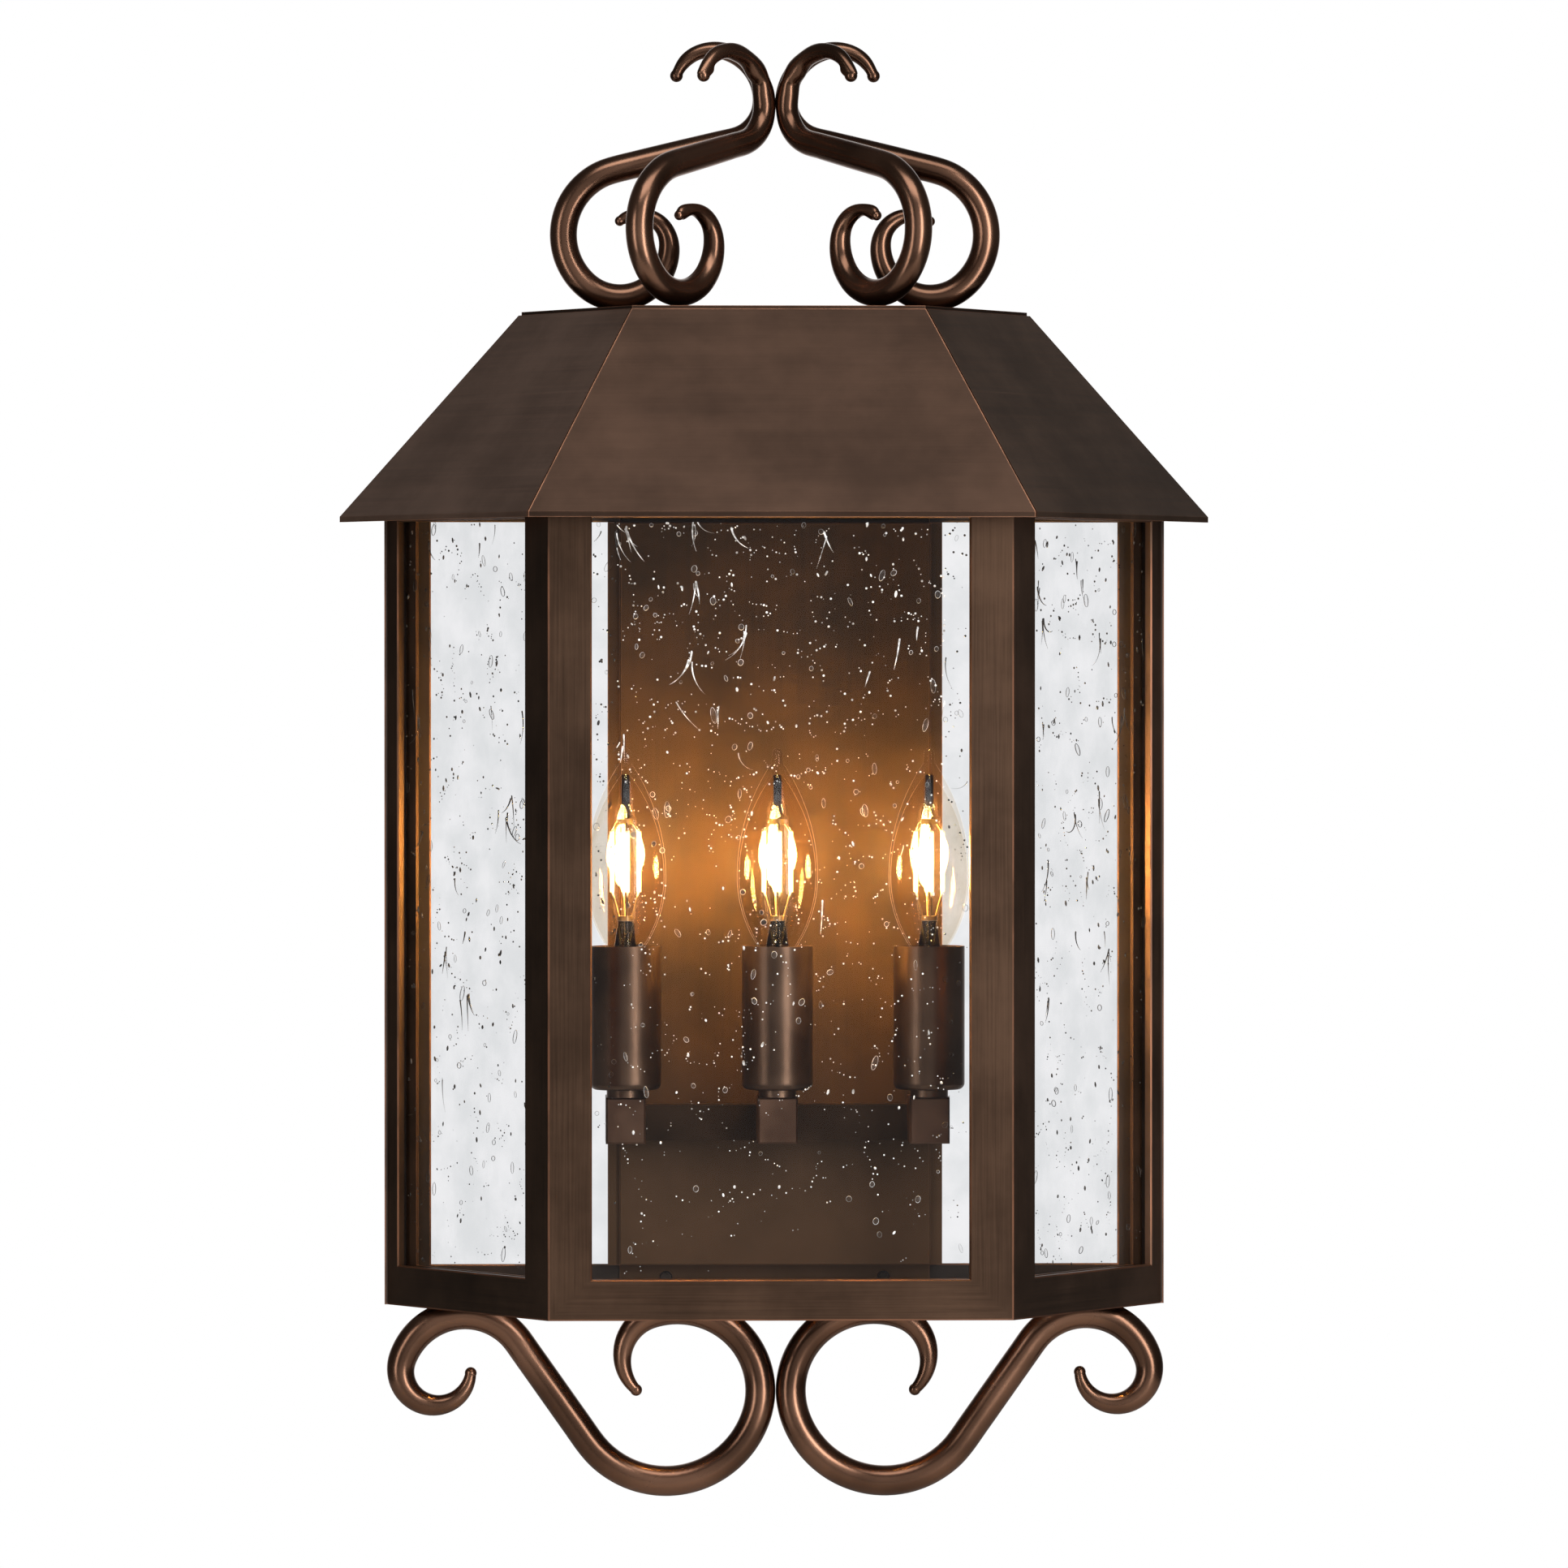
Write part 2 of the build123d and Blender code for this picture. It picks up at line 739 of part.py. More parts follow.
def scroll_rod(line, plane, shift, diameter, tips, tapers):
    """A round rod along a flat centreline laid in a plane, drawn down to a rounded tip at each end."""
    sections = round(line.length / section_pitch)
    with BuildPart() as rod:
        for index in range(sections + 1):
            travel = line.length * index / sections
            width = rod_width((travel, line.length - travel), diameter, tips, tapers)
            point = line.position_at(travel, position_mode=PositionMode.LENGTH) + shift
            heading = line.tangent_at(travel, position_mode=PositionMode.LENGTH)
            place = Plane(
                origin=plane.from_local_coords(point),
                x_dir=plane.z_dir,
                z_dir=plane.from_local_coords(point + heading) - plane.from_local_coords(point),
            )
            with BuildSketch(place):
                Circle(width / 2)
        loft()
        for end, tip in zip((line @ 0, line @ 1), tips):
            with Locations(plane.from_local_coords(end + shift)):
                Sphere(tip / 2 + rod_end_swell)
    return rod


# Rods on the roof: the rear pair stand parallel to the wall, the front pair turn towards the corners
def top_scroll(neck, plane):
    """A roof scroll whose loop stands on the roof and whose bend nearest the middle is at x = 0."""
    line = scroll_line(top_start_heading, top_hook, neck, top_loop)
    low = line.bounding_box().min
    shift = Vector(-low.X, top_rod / 2 + rod_play - low.Y)
    return scroll_rod(line, plane, shift, top_rod, top_rod_tips, top_rod_tapers)


front_scroll_depth = rear_scroll_depth + top_rod + rod_play
bend_travel = sum(radius * math.radians(turn) for radius, turn in top_hook[:2])
bend_width = rod_width((bend_travel, top_rod_tapers[1]), top_rod, top_rod_tips, top_rod_tapers)
scroll_x = (bend_width + rod_play) / 2
rear_scroll_plane = Plane(origin=(scroll_x, -rear_scroll_depth, roof_top), x_dir=(1, 0, 0), z_dir=(0, -1, 0))
front_scroll_plane = Plane(
    origin=(scroll_x, -front_scroll_depth, roof_top),
    x_dir=Vector(1, 0, 0).rotate(Axis.Z, -front_scroll_turn),
    z_dir=Vector(0, -1, 0).rotate(Axis.Z, -front_scroll_turn),
)

top_scroll_rear_right = top_scroll(rear_neck, rear_scroll_plane)
top_scroll_rear_right.part.label = "top_scroll_rear_right"
export_step(top_scroll_rear_right.part, "parts/top_scroll_rear_right.step")

top_scroll_rear_left = mirrored(top_scroll_rear_right)
top_scroll_rear_left.part.label = "top_scroll_rear_left"
export_step(top_scroll_rear_left.part, "parts/top_scroll_rear_left.step")

top_scroll_front_right = top_scroll(front_neck, front_scroll_plane)
top_scroll_front_right.part.label = "top_scroll_front_right"
export_step(top_scroll_front_right.part, "parts/top_scroll_front_right.step")

top_scroll_front_left = mirrored(top_scroll_front_right)
top_scroll_front_left.part.label = "top_scroll_front_left"
export_step(top_scroll_front_left.part, "parts/top_scroll_front_left.step")

# Flat bar across the skirt, and the two large scrolls under it
scroll_bar_bottom = body_bottom + scroll_bar_rise
with BuildPart() as scroll_bar:
    bar_front = -bottom_scroll_depth - scroll_bar_width / 2
    bar_rear = -bottom_scroll_depth + scroll_bar_width / 2
    with BuildSketch(Plane.XY.offset(scroll_bar_bottom)):
        Polygon(
            (-half_width(bar_front, frame_sheet + rod_play), bar_front),
            (half_width(bar_front, frame_sheet + rod_play), bar_front),
            (half_width(bar_rear, frame_sheet + rod_play), bar_rear),
            (-half_width(bar_rear, frame_sheet + rod_play), bar_rear),
            align=None,
        )
    extrude(amount=scroll_bar_thickness)
scroll_bar.part.label = "scroll_bar"
export_step(scroll_bar.part, "parts/scroll_bar.step")

bottom_line = scroll_line(bottom_start_heading, bottom_curl, bottom_neck, bottom_loop)
bottom_high = bottom_line.bounding_box().max
bottom_shift = Vector(
    -(bottom_rod + rod_play) / 2 - bottom_high.X,
    scroll_bar_bottom - bottom_rod / 2 - rod_play - bottom_high.Y,
)
bottom_plane = Plane(origin=(0, -bottom_scroll_depth, 0), x_dir=(1, 0, 0), z_dir=(0, -1, 0))
bottom_scroll_left = scroll_rod(
    bottom_line, bottom_plane, bottom_shift, bottom_rod, bottom_rod_tips, bottom_rod_tapers
)
bottom_scroll_left.part.label = "bottom_scroll_left"
export_step(bottom_scroll_left.part, "parts/bottom_scroll_left.step")

bottom_scroll_right = mirrored(bottom_scroll_left)
bottom_scroll_right.part.label = "bottom_scroll_right"
export_step(bottom_scroll_right.part, "parts/bottom_scroll_right.step")

# Heights along the lamp axis
arm_bottom = body_bottom + arm_rise
arm_top = arm_bottom + arm_height
wire_z = arm_bottom + arm_wall + lead_rise
bar_front_y = -plate_standoff - bar_depth
boss_z = arm_bottom + bar_height - bar_boss_drop
cover_bottom = arm_top + collar_height
cover_top = cover_bottom + cover_height
holder_bottom = cover_bottom + cover_wall + holder_play
holder_top = cover_top - holder_recess
cap_tip = holder_top + cap_play - (cap_length - cap_skirt_height)
contact_base = cap_tip - cap_play - contact_height
lamp_x = {"left": -lamp_spacing, "center": 0, "right": lamp_spacing}
plate_hole_x = (-lamp_spacing / 2, 0, lamp_spacing / 2)
bar_screw_planes = [
    Plane(origin=(x, -plate_standoff + plate_sheet, boss_z), z_dir=(0, 1, 0))
    for x in (-bar_screw_spacing / 2, bar_screw_spacing / 2)
]
side_screw_planes = [
    Plane(origin=(side * (plate_face_width / 2 + plate_shoulder), -side_screw_depth, 0), z_dir=(side, 0, 0))
    for side in (-1, 1)
]


def side_drill(radius):
    """Blanks for the holes that the two side screws pass through."""
    with BuildPart() as drills:
        for place in side_screw_planes:
            with BuildSketch(place):
                Circle(radius)
            extrude(amount=-plate_sheet - ear_play - 2 * strap_sheet)
    return drills.part


# Wall plate: a pan with a stepped edge that hides the wall box
with BuildPart() as wall_plate:
    pan_height = window_height - 2 * glass_play
    pan_width = plate_face_width + 2 * plate_shoulder
    pan_cuts = (
        (pan_width - 2 * plate_sheet, plate_standoff - plate_step - plate_sheet),
        (plate_face_width - 2 * plate_sheet, plate_standoff - plate_sheet),
    )
    for width, depth in ((pan_width, plate_standoff - plate_step), (plate_face_width, plate_standoff)):
        with BuildSketch(Plane.XZ):
            with Locations((0, window_middle)):
                Rectangle(width, pan_height)
        extrude(amount=depth)
    face_rim = wall_plate.faces().sort_by(Axis.Y)[0].outer_wire().edges()
    chamfer(face_rim, plate_bevel)
    for width, depth in pan_cuts:
        with BuildSketch(Plane.XZ):
            with Locations((0, window_middle)):
                Rectangle(width, pan_height - 2 * plate_sheet)
        extrude(amount=depth, mode=Mode.SUBTRACT)
    with BuildSketch(Plane.XZ.offset(rear_sheet)):
        for z in (window_bottom - plate_tab / 2 + glass_play, window_top + plate_tab / 2 - glass_play):
            with Locations((0, z)):
                Rectangle(plate_face_width, plate_tab)
    extrude(amount=plate_sheet)
    with BuildSketch(Plane.XZ):
        for x in plate_hole_x:
            with Locations((x, wire_z)):
                Circle(wire_hole / 2)
    extrude(amount=plate_standoff, mode=Mode.SUBTRACT)
    add(drill(tab_screw_planes, 2 * plate_sheet), mode=Mode.SUBTRACT)
    add(drill(bar_screw_planes, 2 * plate_sheet), mode=Mode.SUBTRACT)
    add(side_drill(side_screw / 2 + cap_play), mode=Mode.SUBTRACT)
wall_plate.part.label = "wall_plate"
export_step(wall_plate.part, "parts/wall_plate.step")

plate_screws = sheet_metal_screws(tab_screw_planes, plate_sheet + rear_sheet - glass_play)
plate_screws.part.label = "plate_screws"
export_step(plate_screws.part, "parts/plate_screws.step")

# Socket bar: a channel on the wall plate, open to the rear, that carries the leads to the arms
with BuildPart() as socket_bar:
    bar_length = 2 * (lamp_spacing + arm_width / 2 - bar_end_step)
    with BuildSketch(Plane.XZ.offset(plate_standoff)):
        with Locations((0, arm_bottom + bar_height / 2)):
            Rectangle(bar_length, bar_height)
    extrude(amount=bar_depth)
    with BuildSketch(Plane.XZ.offset(plate_standoff)):
        with Locations((0, arm_bottom + bar_height / 2)):
            Rectangle(bar_length - 2 * bar_wall, bar_height - 2 * bar_wall)
    extrude(amount=bar_depth - bar_wall, mode=Mode.SUBTRACT)
    with BuildSketch(Plane.XZ.offset(plate_standoff)):
        with Locations((0, boss_z)):
            with GridLocations(bar_screw_spacing, 0, 2, 1):
                Circle(bar_boss / 2)
    extrude(amount=bar_depth - bar_wall)
    with BuildSketch(Plane.XZ.offset(plate_standoff)):
        for x in lamp_x.values():
            with Locations((x, wire_z)):
                Circle(wire_hole / 2)
    extrude(amount=bar_depth, mode=Mode.SUBTRACT)
    add(drill(bar_screw_planes, plate_sheet + bar_depth - bar_wall), mode=Mode.SUBTRACT)
socket_bar.part.label = "socket_bar"
export_step(socket_bar.part, "parts/socket_bar.step")

bar_screws = sheet_metal_screws(bar_screw_planes, plate_sheet + bar_depth - bar_wall - screw_bite)
bar_screws.part.label = "bar_screws"
export_step(bar_screws.part, "parts/bar_screws.step")

# One lamp is built on the middle axis and copied sideways
lamp_plane = Plane(origin=(0, -lamp_reach, 0), x_dir=(1, 0, 0), z_dir=(0, -1, 0))
lamp_axis = Axis((0, -lamp_reach, 0), (0, 0, 1))


def turned(outline):
    """A piece turned about the middle lamp axis from a half section of radii and heights."""
    with BuildPart() as piece:
        with BuildSketch(lamp_plane):
            Polygon(*outline, align=None)
        revolve(axis=lamp_axis)
    return piece


def moved(piece, x):
    """A copy of a middle lamp's piece at another lamp."""
    with BuildPart() as copy:
        with Locations((x, 0, 0)):
            add(piece.part)
    return copy


def at_each_lamp(piece):
    """Three copies of a middle lamp's piece, one at each lamp."""
    with BuildPart() as copies:
        with Locations(*[(x, 0, 0) for x in lamp_x.values()]):
            add(piece.part)
    return copies


# Arm: a square tube with a closed front end
with BuildPart() as arm:
    arm_middle = arm_bottom + arm_height / 2
    arm_length = lamp_reach + arm_width / 2 + bar_front_y
    with BuildSketch(Plane.XZ.offset(-bar_front_y)):
        with Locations((0, arm_middle)):
            Rectangle(arm_width, arm_height)
    extrude(amount=arm_length)
    chamfer(arm.faces().sort_by(Axis.Y)[0].edges(), arm_bevel)
    with BuildSketch(Plane.XZ.offset(-bar_front_y)):
        with Locations((0, arm_middle)):
            Rectangle(arm_width - 2 * arm_wall, arm_height - 2 * arm_wall)
    extrude(amount=arm_length - arm_wall, mode=Mode.SUBTRACT)
    with Locations((0, -lamp_reach, arm_top - arm_wall / 2)):
        Hole(nipple_diameter / 2 + thread_play, depth=arm_wall)

nipple_bottom = arm_top - arm_wall - nut_thickness - nipple_end_gap
nipple_top = holder_bottom + nipple_engagement - nipple_end_gap
nipple = turned(
    [
        (nipple_bore / 2, nipple_bottom),
        (nipple_diameter / 2, nipple_bottom),
        (nipple_diameter / 2, nipple_top),
        (nipple_bore / 2, nipple_top),
    ]
)
with BuildPart() as lock_nut:
    with BuildSketch(Plane.XY.offset(arm_top - arm_wall - holder_play)):
        with Locations((0, -lamp_reach)):
            RegularPolygon(nut_flats / 2, 6, major_radius=False, rotation=30)
            Circle(nipple_diameter / 2 + thread_play, mode=Mode.SUBTRACT)
    extrude(amount=-nut_thickness)
collar = turned(
    [
        (nipple_diameter / 2 + thread_play, arm_top),
        (collar_diameter / 2, arm_top),
        (collar_diameter / 2, cover_bottom),
        (nipple_diameter / 2 + thread_play, cover_bottom),
    ]
)

# Cover: a tall cup that the lampholder clamps on its collar
cover = turned(
    [
        (nipple_diameter / 2 + thread_play, cover_bottom),
        (cover_diameter / 2, cover_bottom),
        (cover_diameter / 2, cover_top),
        (cover_diameter / 2 - cover_wall, cover_top),
        (cover_diameter / 2 - cover_wall, cover_bottom + cover_wall),
        (nipple_diameter / 2 + thread_play, cover_bottom + cover_wall),
    ]
)
with cover:
    bottom_rims = cover.edges().filter_by(GeomType.CIRCLE).group_by(Axis.Z)
    fillet(bottom_rims[0].sort_by(SortBy.RADIUS)[-1], cover_rounding)
    fillet(bottom_rims[1].sort_by(SortBy.RADIUS)[-1], cover_rounding - cover_wall)

# Lampholder: moulded body with a stem that screws on the nipple
holder_stem_top = holder_bottom + holder_stem_length
bore_radius = cap_thread_diameter / 2 + cap_play + shell_wall + holder_play
holder_start = [
    (nipple_diameter / 2 + thread_play, holder_bottom),
    (holder_stem_diameter / 2, holder_bottom),
    (holder_stem_diameter / 2, holder_stem_top),
    (holder_diameter / 2, holder_stem_top + holder_stem_bevel),
    (holder_diameter / 2, holder_top),
    (bore_radius, holder_top),
    (bore_radius, contact_base),
    (0, contact_base),
    (0, contact_base - holder_floor),
    (holder_passage / 2, contact_base - holder_floor),
    (holder_passage / 2, holder_bottom + nipple_engagement),
    (nipple_diameter / 2 + thread_play, holder_bottom + nipple_engagement),
]
lampholder = turned(holder_start)
shell_radius = cap_thread_diameter / 2 + cap_play
screw_shell = turned(
    [
        (shell_radius, contact_base),
        (shell_radius + shell_wall, contact_base),
        (shell_radius + shell_wall, contact_base + shell_length),
        (shell_radius, contact_base + shell_length),
    ]
)
contact = turned(
    [
        (0, contact_base),
        (contact_diameter / 2, contact_base),
        (contact_diameter / 2, contact_base + contact_height),
        (0, contact_base + contact_height),
    ]
)

shared_lamp_pieces = {
    "nipples": nipple,
    "lock_nuts": lock_nut,
    "collars": collar,
    "screw_shells": screw_shell,
    "center_contacts": contact,
}
for name, piece in shared_lamp_pieces.items():
    copies = at_each_lamp(piece)
    copies.part.label = name
    export_step(copies.part, f"parts/{name}.step")

# Bulb cap: button, cone, rounded thread and a skirt that holds the neck of the glass
thread_radius = cap_thread_diameter / 2
cap_outline = [
    (0, cap_tip),
    (cap_button_diameter / 2, cap_tip),
    (cap_button_diameter / 2, cap_tip + cap_button_height),
    (thread_radius - cap_thread_depth, cap_tip + cap_cone_height),
]
for ridge in range(cap_thread_count):
    foot = cap_tip + cap_cone_height + cap_thread_pitch * ridge
    cap_outline += [
        (thread_radius - cap_thread_depth, foot + cap_thread_pitch / 4),
        (thread_radius, foot + cap_thread_pitch / 2),
        (thread_radius, foot + cap_thread_pitch * 3 / 4),
        (thread_radius - cap_thread_depth, foot + cap_thread_pitch),
    ]
skirt_radius = cap_skirt_diameter / 2
skirt_bottom = cap_tip + cap_length - cap_skirt_height
cap_outline += [
    (thread_radius - cap_thread_depth, skirt_bottom - cap_play),
    (skirt_radius, skirt_bottom),
    (skirt_radius, cap_tip + cap_length),
    (skirt_radius - cap_rim, cap_tip + cap_length),
    (skirt_radius - cap_rim, cap_tip + cap_length - neck_seat),
    (0, cap_tip + cap_length - neck_seat),
]
bulb_cap = turned(cap_outline)

# Bulb glass: two arcs meet at the widest section, and the stem stands inside the neck
neck_radius = skirt_radius - cap_rim - holder_play
neck_bottom = cap_tip + cap_length - neck_seat + holder_play
flange_top = neck_bottom + envelope_wall
upper_hub_bottom = cap_tip + filament_start + filament_length + upper_hub_rise
hub_top = upper_hub_bottom + upper_hub_height
with BuildPart() as bulb_glass:
    with BuildSketch(lamp_plane):
        with BuildLine():
            inner_neck = neck_radius - envelope_wall
            widest = (bulb_diameter / 2, cap_tip + bulb_widest)
            inner_widest = (bulb_diameter / 2 - envelope_wall, cap_tip + bulb_widest)
            shoulder = (shoulder_diameter / 2, cap_tip + shoulder_height)
            inner_shoulder = (shoulder_diameter / 2 - envelope_wall, cap_tip + shoulder_height)
            tip_neck = (tip_neck_diameter / 2, cap_tip + tip_neck_height)
            inner_tip = (exhaust_tube / 2, cap_tip + tip_neck_height - tip_neck_diameter)
            ball_foot = (tip_ball / 2, cap_tip + bulb_length - tip_ball / 2)
            bulb_top = (0, cap_tip + bulb_length)
            Polyline(
                (stem_bore / 2, cap_tip + stem_height),
                (stem_bore / 2, neck_bottom),
                (neck_radius, neck_bottom),
                (neck_radius, cap_tip + neck_height),
                shoulder,
            )
            TangentArc(widest, shoulder, tangent=(0, -1))
            TangentArc(widest, tip_neck, tangent=(0, 1))
            Line(tip_neck, ball_foot)
            RadiusArc(ball_foot, bulb_top, -tip_ball / 2)
            Polyline(
                bulb_top,
                (0, hub_top),
                (exhaust_tube / 2, hub_top),
                inner_tip,
            )
            TangentArc(inner_widest, inner_tip, tangent=(0, 1))
            TangentArc(inner_widest, inner_shoulder, tangent=(0, -1))
            Polyline(
                inner_shoulder,
                (inner_neck, cap_tip + neck_height),
                (inner_neck, flange_top),
                (stem_foot_diameter / 2, flange_top),
                (stem_foot_diameter / 2, cap_tip + shoulder_height),
                (stem_top_diameter / 2, cap_tip + stem_height),
                (stem_bore / 2, cap_tip + stem_height),
            )
        make_face()
    revolve(axis=lamp_axis)


def strut(start, end, diameter):
    """A straight round wire between two points."""
    with BuildPart() as wire:
        with BuildSketch(Plane(origin=start, z_dir=end - start)):
            Circle(diameter / 2)
        extrude(amount=(end - start).length)
    return wire.part


# Filaments: light sticks round a circle, each held by a wire from both hubs
with BuildPart() as bulb_filament:
    filament_bottom = cap_tip + filament_start
    filament_top = filament_bottom + filament_length
    lower_hub_bottom = cap_tip + stem_height + holder_play
    hub_sizes = ((lower_hub_bottom, lower_hub_height), (upper_hub_bottom - holder_play, upper_hub_height))
    for hub_bottom, hub_height in hub_sizes:
        with BuildSketch(Plane.XY.offset(hub_bottom)):
            with Locations((0, -lamp_reach)):
                Circle(hub_diameter / 2)
        extrude(amount=hub_height)
    for index in range(filament_count):
        spoke = Vector(1, 0, 0).rotate(Axis.Z, filament_twist + 360 * index / filament_count)
        foot = Vector(0, -lamp_reach, filament_bottom) + spoke * (filament_circle / 2)
        head = Vector(0, -lamp_reach, filament_top) + spoke * (filament_circle / 2)
        hub_rim = hub_diameter / 2 - support_wire
        lower_root = Vector(0, -lamp_reach, lower_hub_bottom + lower_hub_height / 2) + spoke * hub_rim
        upper_root = Vector(0, -lamp_reach, upper_hub_bottom + upper_hub_height / 2) + spoke * hub_rim
        add(strut(foot, head, filament_diameter))
        add(strut(lower_root, foot + Vector(0, 0, support_wire), support_wire))
        add(strut(upper_root, head - Vector(0, 0, support_wire), support_wire))

own_lamp_pieces = {
    "socket_arm": arm,
    "socket_cover": cover,
    "lampholder": lampholder,
    "bulb_cap": bulb_cap,
    "bulb_glass": bulb_glass,
    "bulb_filament": bulb_filament,
}
for name, piece in own_lamp_pieces.items():
    for side, x in lamp_x.items():
        copy = moved(piece, x)
        copy.part.label = f"{name}_{side}"
        export_step(copy.part, f"parts/{name}_{side}.step")

# Wall bracket: a strap with slots for the wall box and an ear at each end
strap_half = plate_face_width / 2 + plate_shoulder - plate_sheet - ear_play
with BuildPart() as mounting_bracket:
    with BuildSketch(Plane.XZ):
        Rectangle(2 * strap_half, strap_height)
        Circle(wire_inlet_diameter / 2, mode=Mode.SUBTRACT)
        with GridLocations(box_screw_spacing, 0, 2, 1):
            SlotOverall(box_slot_length, box_slot_width, mode=Mode.SUBTRACT)
        with Locations((ground_screw_offset, 0)):
            Circle(side_screw / 2 + thread_play, mode=Mode.SUBTRACT)
    extrude(amount=strap_sheet)
    with BuildSketch(Plane.XZ):
        for side in (-1, 1):
            with Locations((side * (strap_half - strap_sheet / 2), 0)):
                Rectangle(strap_sheet, ear_height)
    extrude(amount=ear_depth)
    add(side_drill(side_screw / 2 + thread_play), mode=Mode.SUBTRACT)
mounting_bracket.part.label = "mounting_bracket"
export_step(mounting_bracket.part, "parts/mounting_bracket.step")

side_screw_length = plate_sheet + ear_play + 2 * strap_sheet
side_screws = screw_set(
    side_screw_planes, side_screw, side_screw_length, side_screw_head, side_screw_head_height
)
side_screws.part.label = "side_screws"
export_step(side_screws.part, "parts/side_screws.step")

ground_screw = screw_set(
    [Plane(origin=(ground_screw_offset, -strap_sheet, 0), z_dir=(0, -1, 0))],
    side_screw,
    strap_sheet,
    side_screw_head,
    side_screw_head_height,
)
ground_screw.part.label = "ground_screw"
export_step(ground_screw.part, "parts/ground_screw.step")

# Terminal block below the strap, with a bore for each lead and, on top, for each supply core
block_top = -strap_height / 2 - ear_play
block_bottom = block_top - block_height
with BuildPart() as terminal_block:
    with Locations((0, -lead_depth, (block_top + block_bottom) / 2)):
        Box(block_width, block_depth, block_height)
    for z in (block_bottom, block_top - lead_entry):
        with BuildSketch(Plane.XY.offset(z)):
            with Locations((0, -lead_depth)):
                with GridLocations(block_pitch, 0, 3, 1):
                    Circle(lead_diameter / 2 + glass_play)
        extrude(amount=lead_entry, mode=Mode.SUBTRACT)
terminal_block.part.label = "terminal_block"
export_step(terminal_block.part, "parts/terminal_block.step")


# Leads: down each nipple, back through the arm and the bar, and up behind the plate to the block
def lead(route):
    """A round lead along straight runs joined by arcs."""
    with BuildPart() as flex:
        with BuildLine() as run:
            FilletPolyline(*route, radius=lead_bend)
        with BuildSketch(Plane(origin=route[0], z_dir=Vector(*route[1]) - Vector(*route[0]))):
            Circle(lead_diameter / 2)
        sweep(path=run.line)
    return flex.part


bar_lead_y = -plate_standoff - (bar_depth - bar_wall) / 2
lead_top = holder_bottom + nipple_engagement + lead_diameter
block_approach = block_bottom - 2 * lead_diameter
block_end = block_bottom + lead_entry - glass_play
with BuildPart() as socket_leads:
    add(
        lead(
            [
                (0, -lamp_reach, lead_top),
                (0, -lamp_reach, wire_z),
                (0, -lead_depth, wire_z),
                (0, -lead_depth, block_end),
            ]
        )
    )
    side_lead = lead(
        [
            (lamp_spacing, -lamp_reach, lead_top),
            (lamp_spacing, -lamp_reach, wire_z),
            (lamp_spacing, bar_lead_y, wire_z),
            (lamp_spacing / 2, bar_lead_y, wire_z),
            (lamp_spacing / 2, -lead_depth, wire_z),
            (block_pitch, -lead_depth, block_approach),
            (block_pitch, -lead_depth, block_end),
        ]
    )
    add(side_lead)
    mirror(side_lead, about=Plane.YZ)
socket_leads.part.label = "socket_leads"
export_step(socket_leads.part, "parts/socket_leads.step")
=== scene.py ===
# %% [markdown]
# # An outdoor wall light, dressed
# The lantern was drawn as solids first: frames, glass, roof sheets, scrolls and lamps. Here
# the same solids get their finishes, the seeds in the glass, the light and the camera.
# Every length below is in metres, and the wall is at y = 0.

# %% Load the lantern
import json
import math
import random
import bmesh
import bpy
from mathutils import Matrix, Vector

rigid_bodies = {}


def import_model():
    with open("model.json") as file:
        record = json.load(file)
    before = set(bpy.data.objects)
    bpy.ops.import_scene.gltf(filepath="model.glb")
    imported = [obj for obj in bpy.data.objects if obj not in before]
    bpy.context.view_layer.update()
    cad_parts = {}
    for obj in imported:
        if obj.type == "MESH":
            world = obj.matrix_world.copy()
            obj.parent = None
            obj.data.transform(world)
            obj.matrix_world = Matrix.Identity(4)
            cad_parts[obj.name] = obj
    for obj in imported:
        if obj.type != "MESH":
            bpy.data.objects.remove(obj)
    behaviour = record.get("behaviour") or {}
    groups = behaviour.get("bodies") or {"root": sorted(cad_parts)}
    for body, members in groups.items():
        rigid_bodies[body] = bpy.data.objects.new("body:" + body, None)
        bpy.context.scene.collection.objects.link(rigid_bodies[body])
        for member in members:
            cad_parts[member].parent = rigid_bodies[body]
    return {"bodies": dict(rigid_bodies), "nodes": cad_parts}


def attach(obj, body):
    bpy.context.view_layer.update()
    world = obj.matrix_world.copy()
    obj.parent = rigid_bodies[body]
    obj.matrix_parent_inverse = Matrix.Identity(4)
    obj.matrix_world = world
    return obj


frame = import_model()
parts, bodies = frame["nodes"], frame["bodies"]
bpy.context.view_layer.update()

# %% [markdown]
# ## Where the photograph was taken
# A picture taken from far away with a long lens keeps upright edges parallel.
# The camera stands 4 m in front of the wall, a little to the left, and looks straight at the lantern.
# Matching about forty corners of the lantern by least squares gave these figures.

# %% Camera
lens = bpy.data.cameras.new("long_lens")
lens.lens, lens.sensor_width = 209.133, 36.0
camera = bpy.data.objects.new("camera", lens)
camera.location = (-0.10343, -4.01891, 0.14074)
camera.rotation_euler = (math.radians(90.0 - 0.58953), 0.0, math.radians(-1.53426))
bpy.context.collection.objects.link(camera)
bpy.context.scene.camera = camera
print("camera", round(-camera.location.y, 2), "m in front of the wall")

# %% [markdown]
# ## Small tools for wiring a finish
# A finish is a little network: nodes make patterns, and wires carry them to the shader.
# Writing each node out takes many lines, so these helpers add a node and feed it in one go.

# %% Wiring helpers
def feed(tree, socket, value):
    """Plugs a wire into a socket, or sets the socket to a fixed value."""
    if isinstance(value, bpy.types.NodeSocket):
        tree.links.new(value, socket)
    else:
        socket.default_value = value


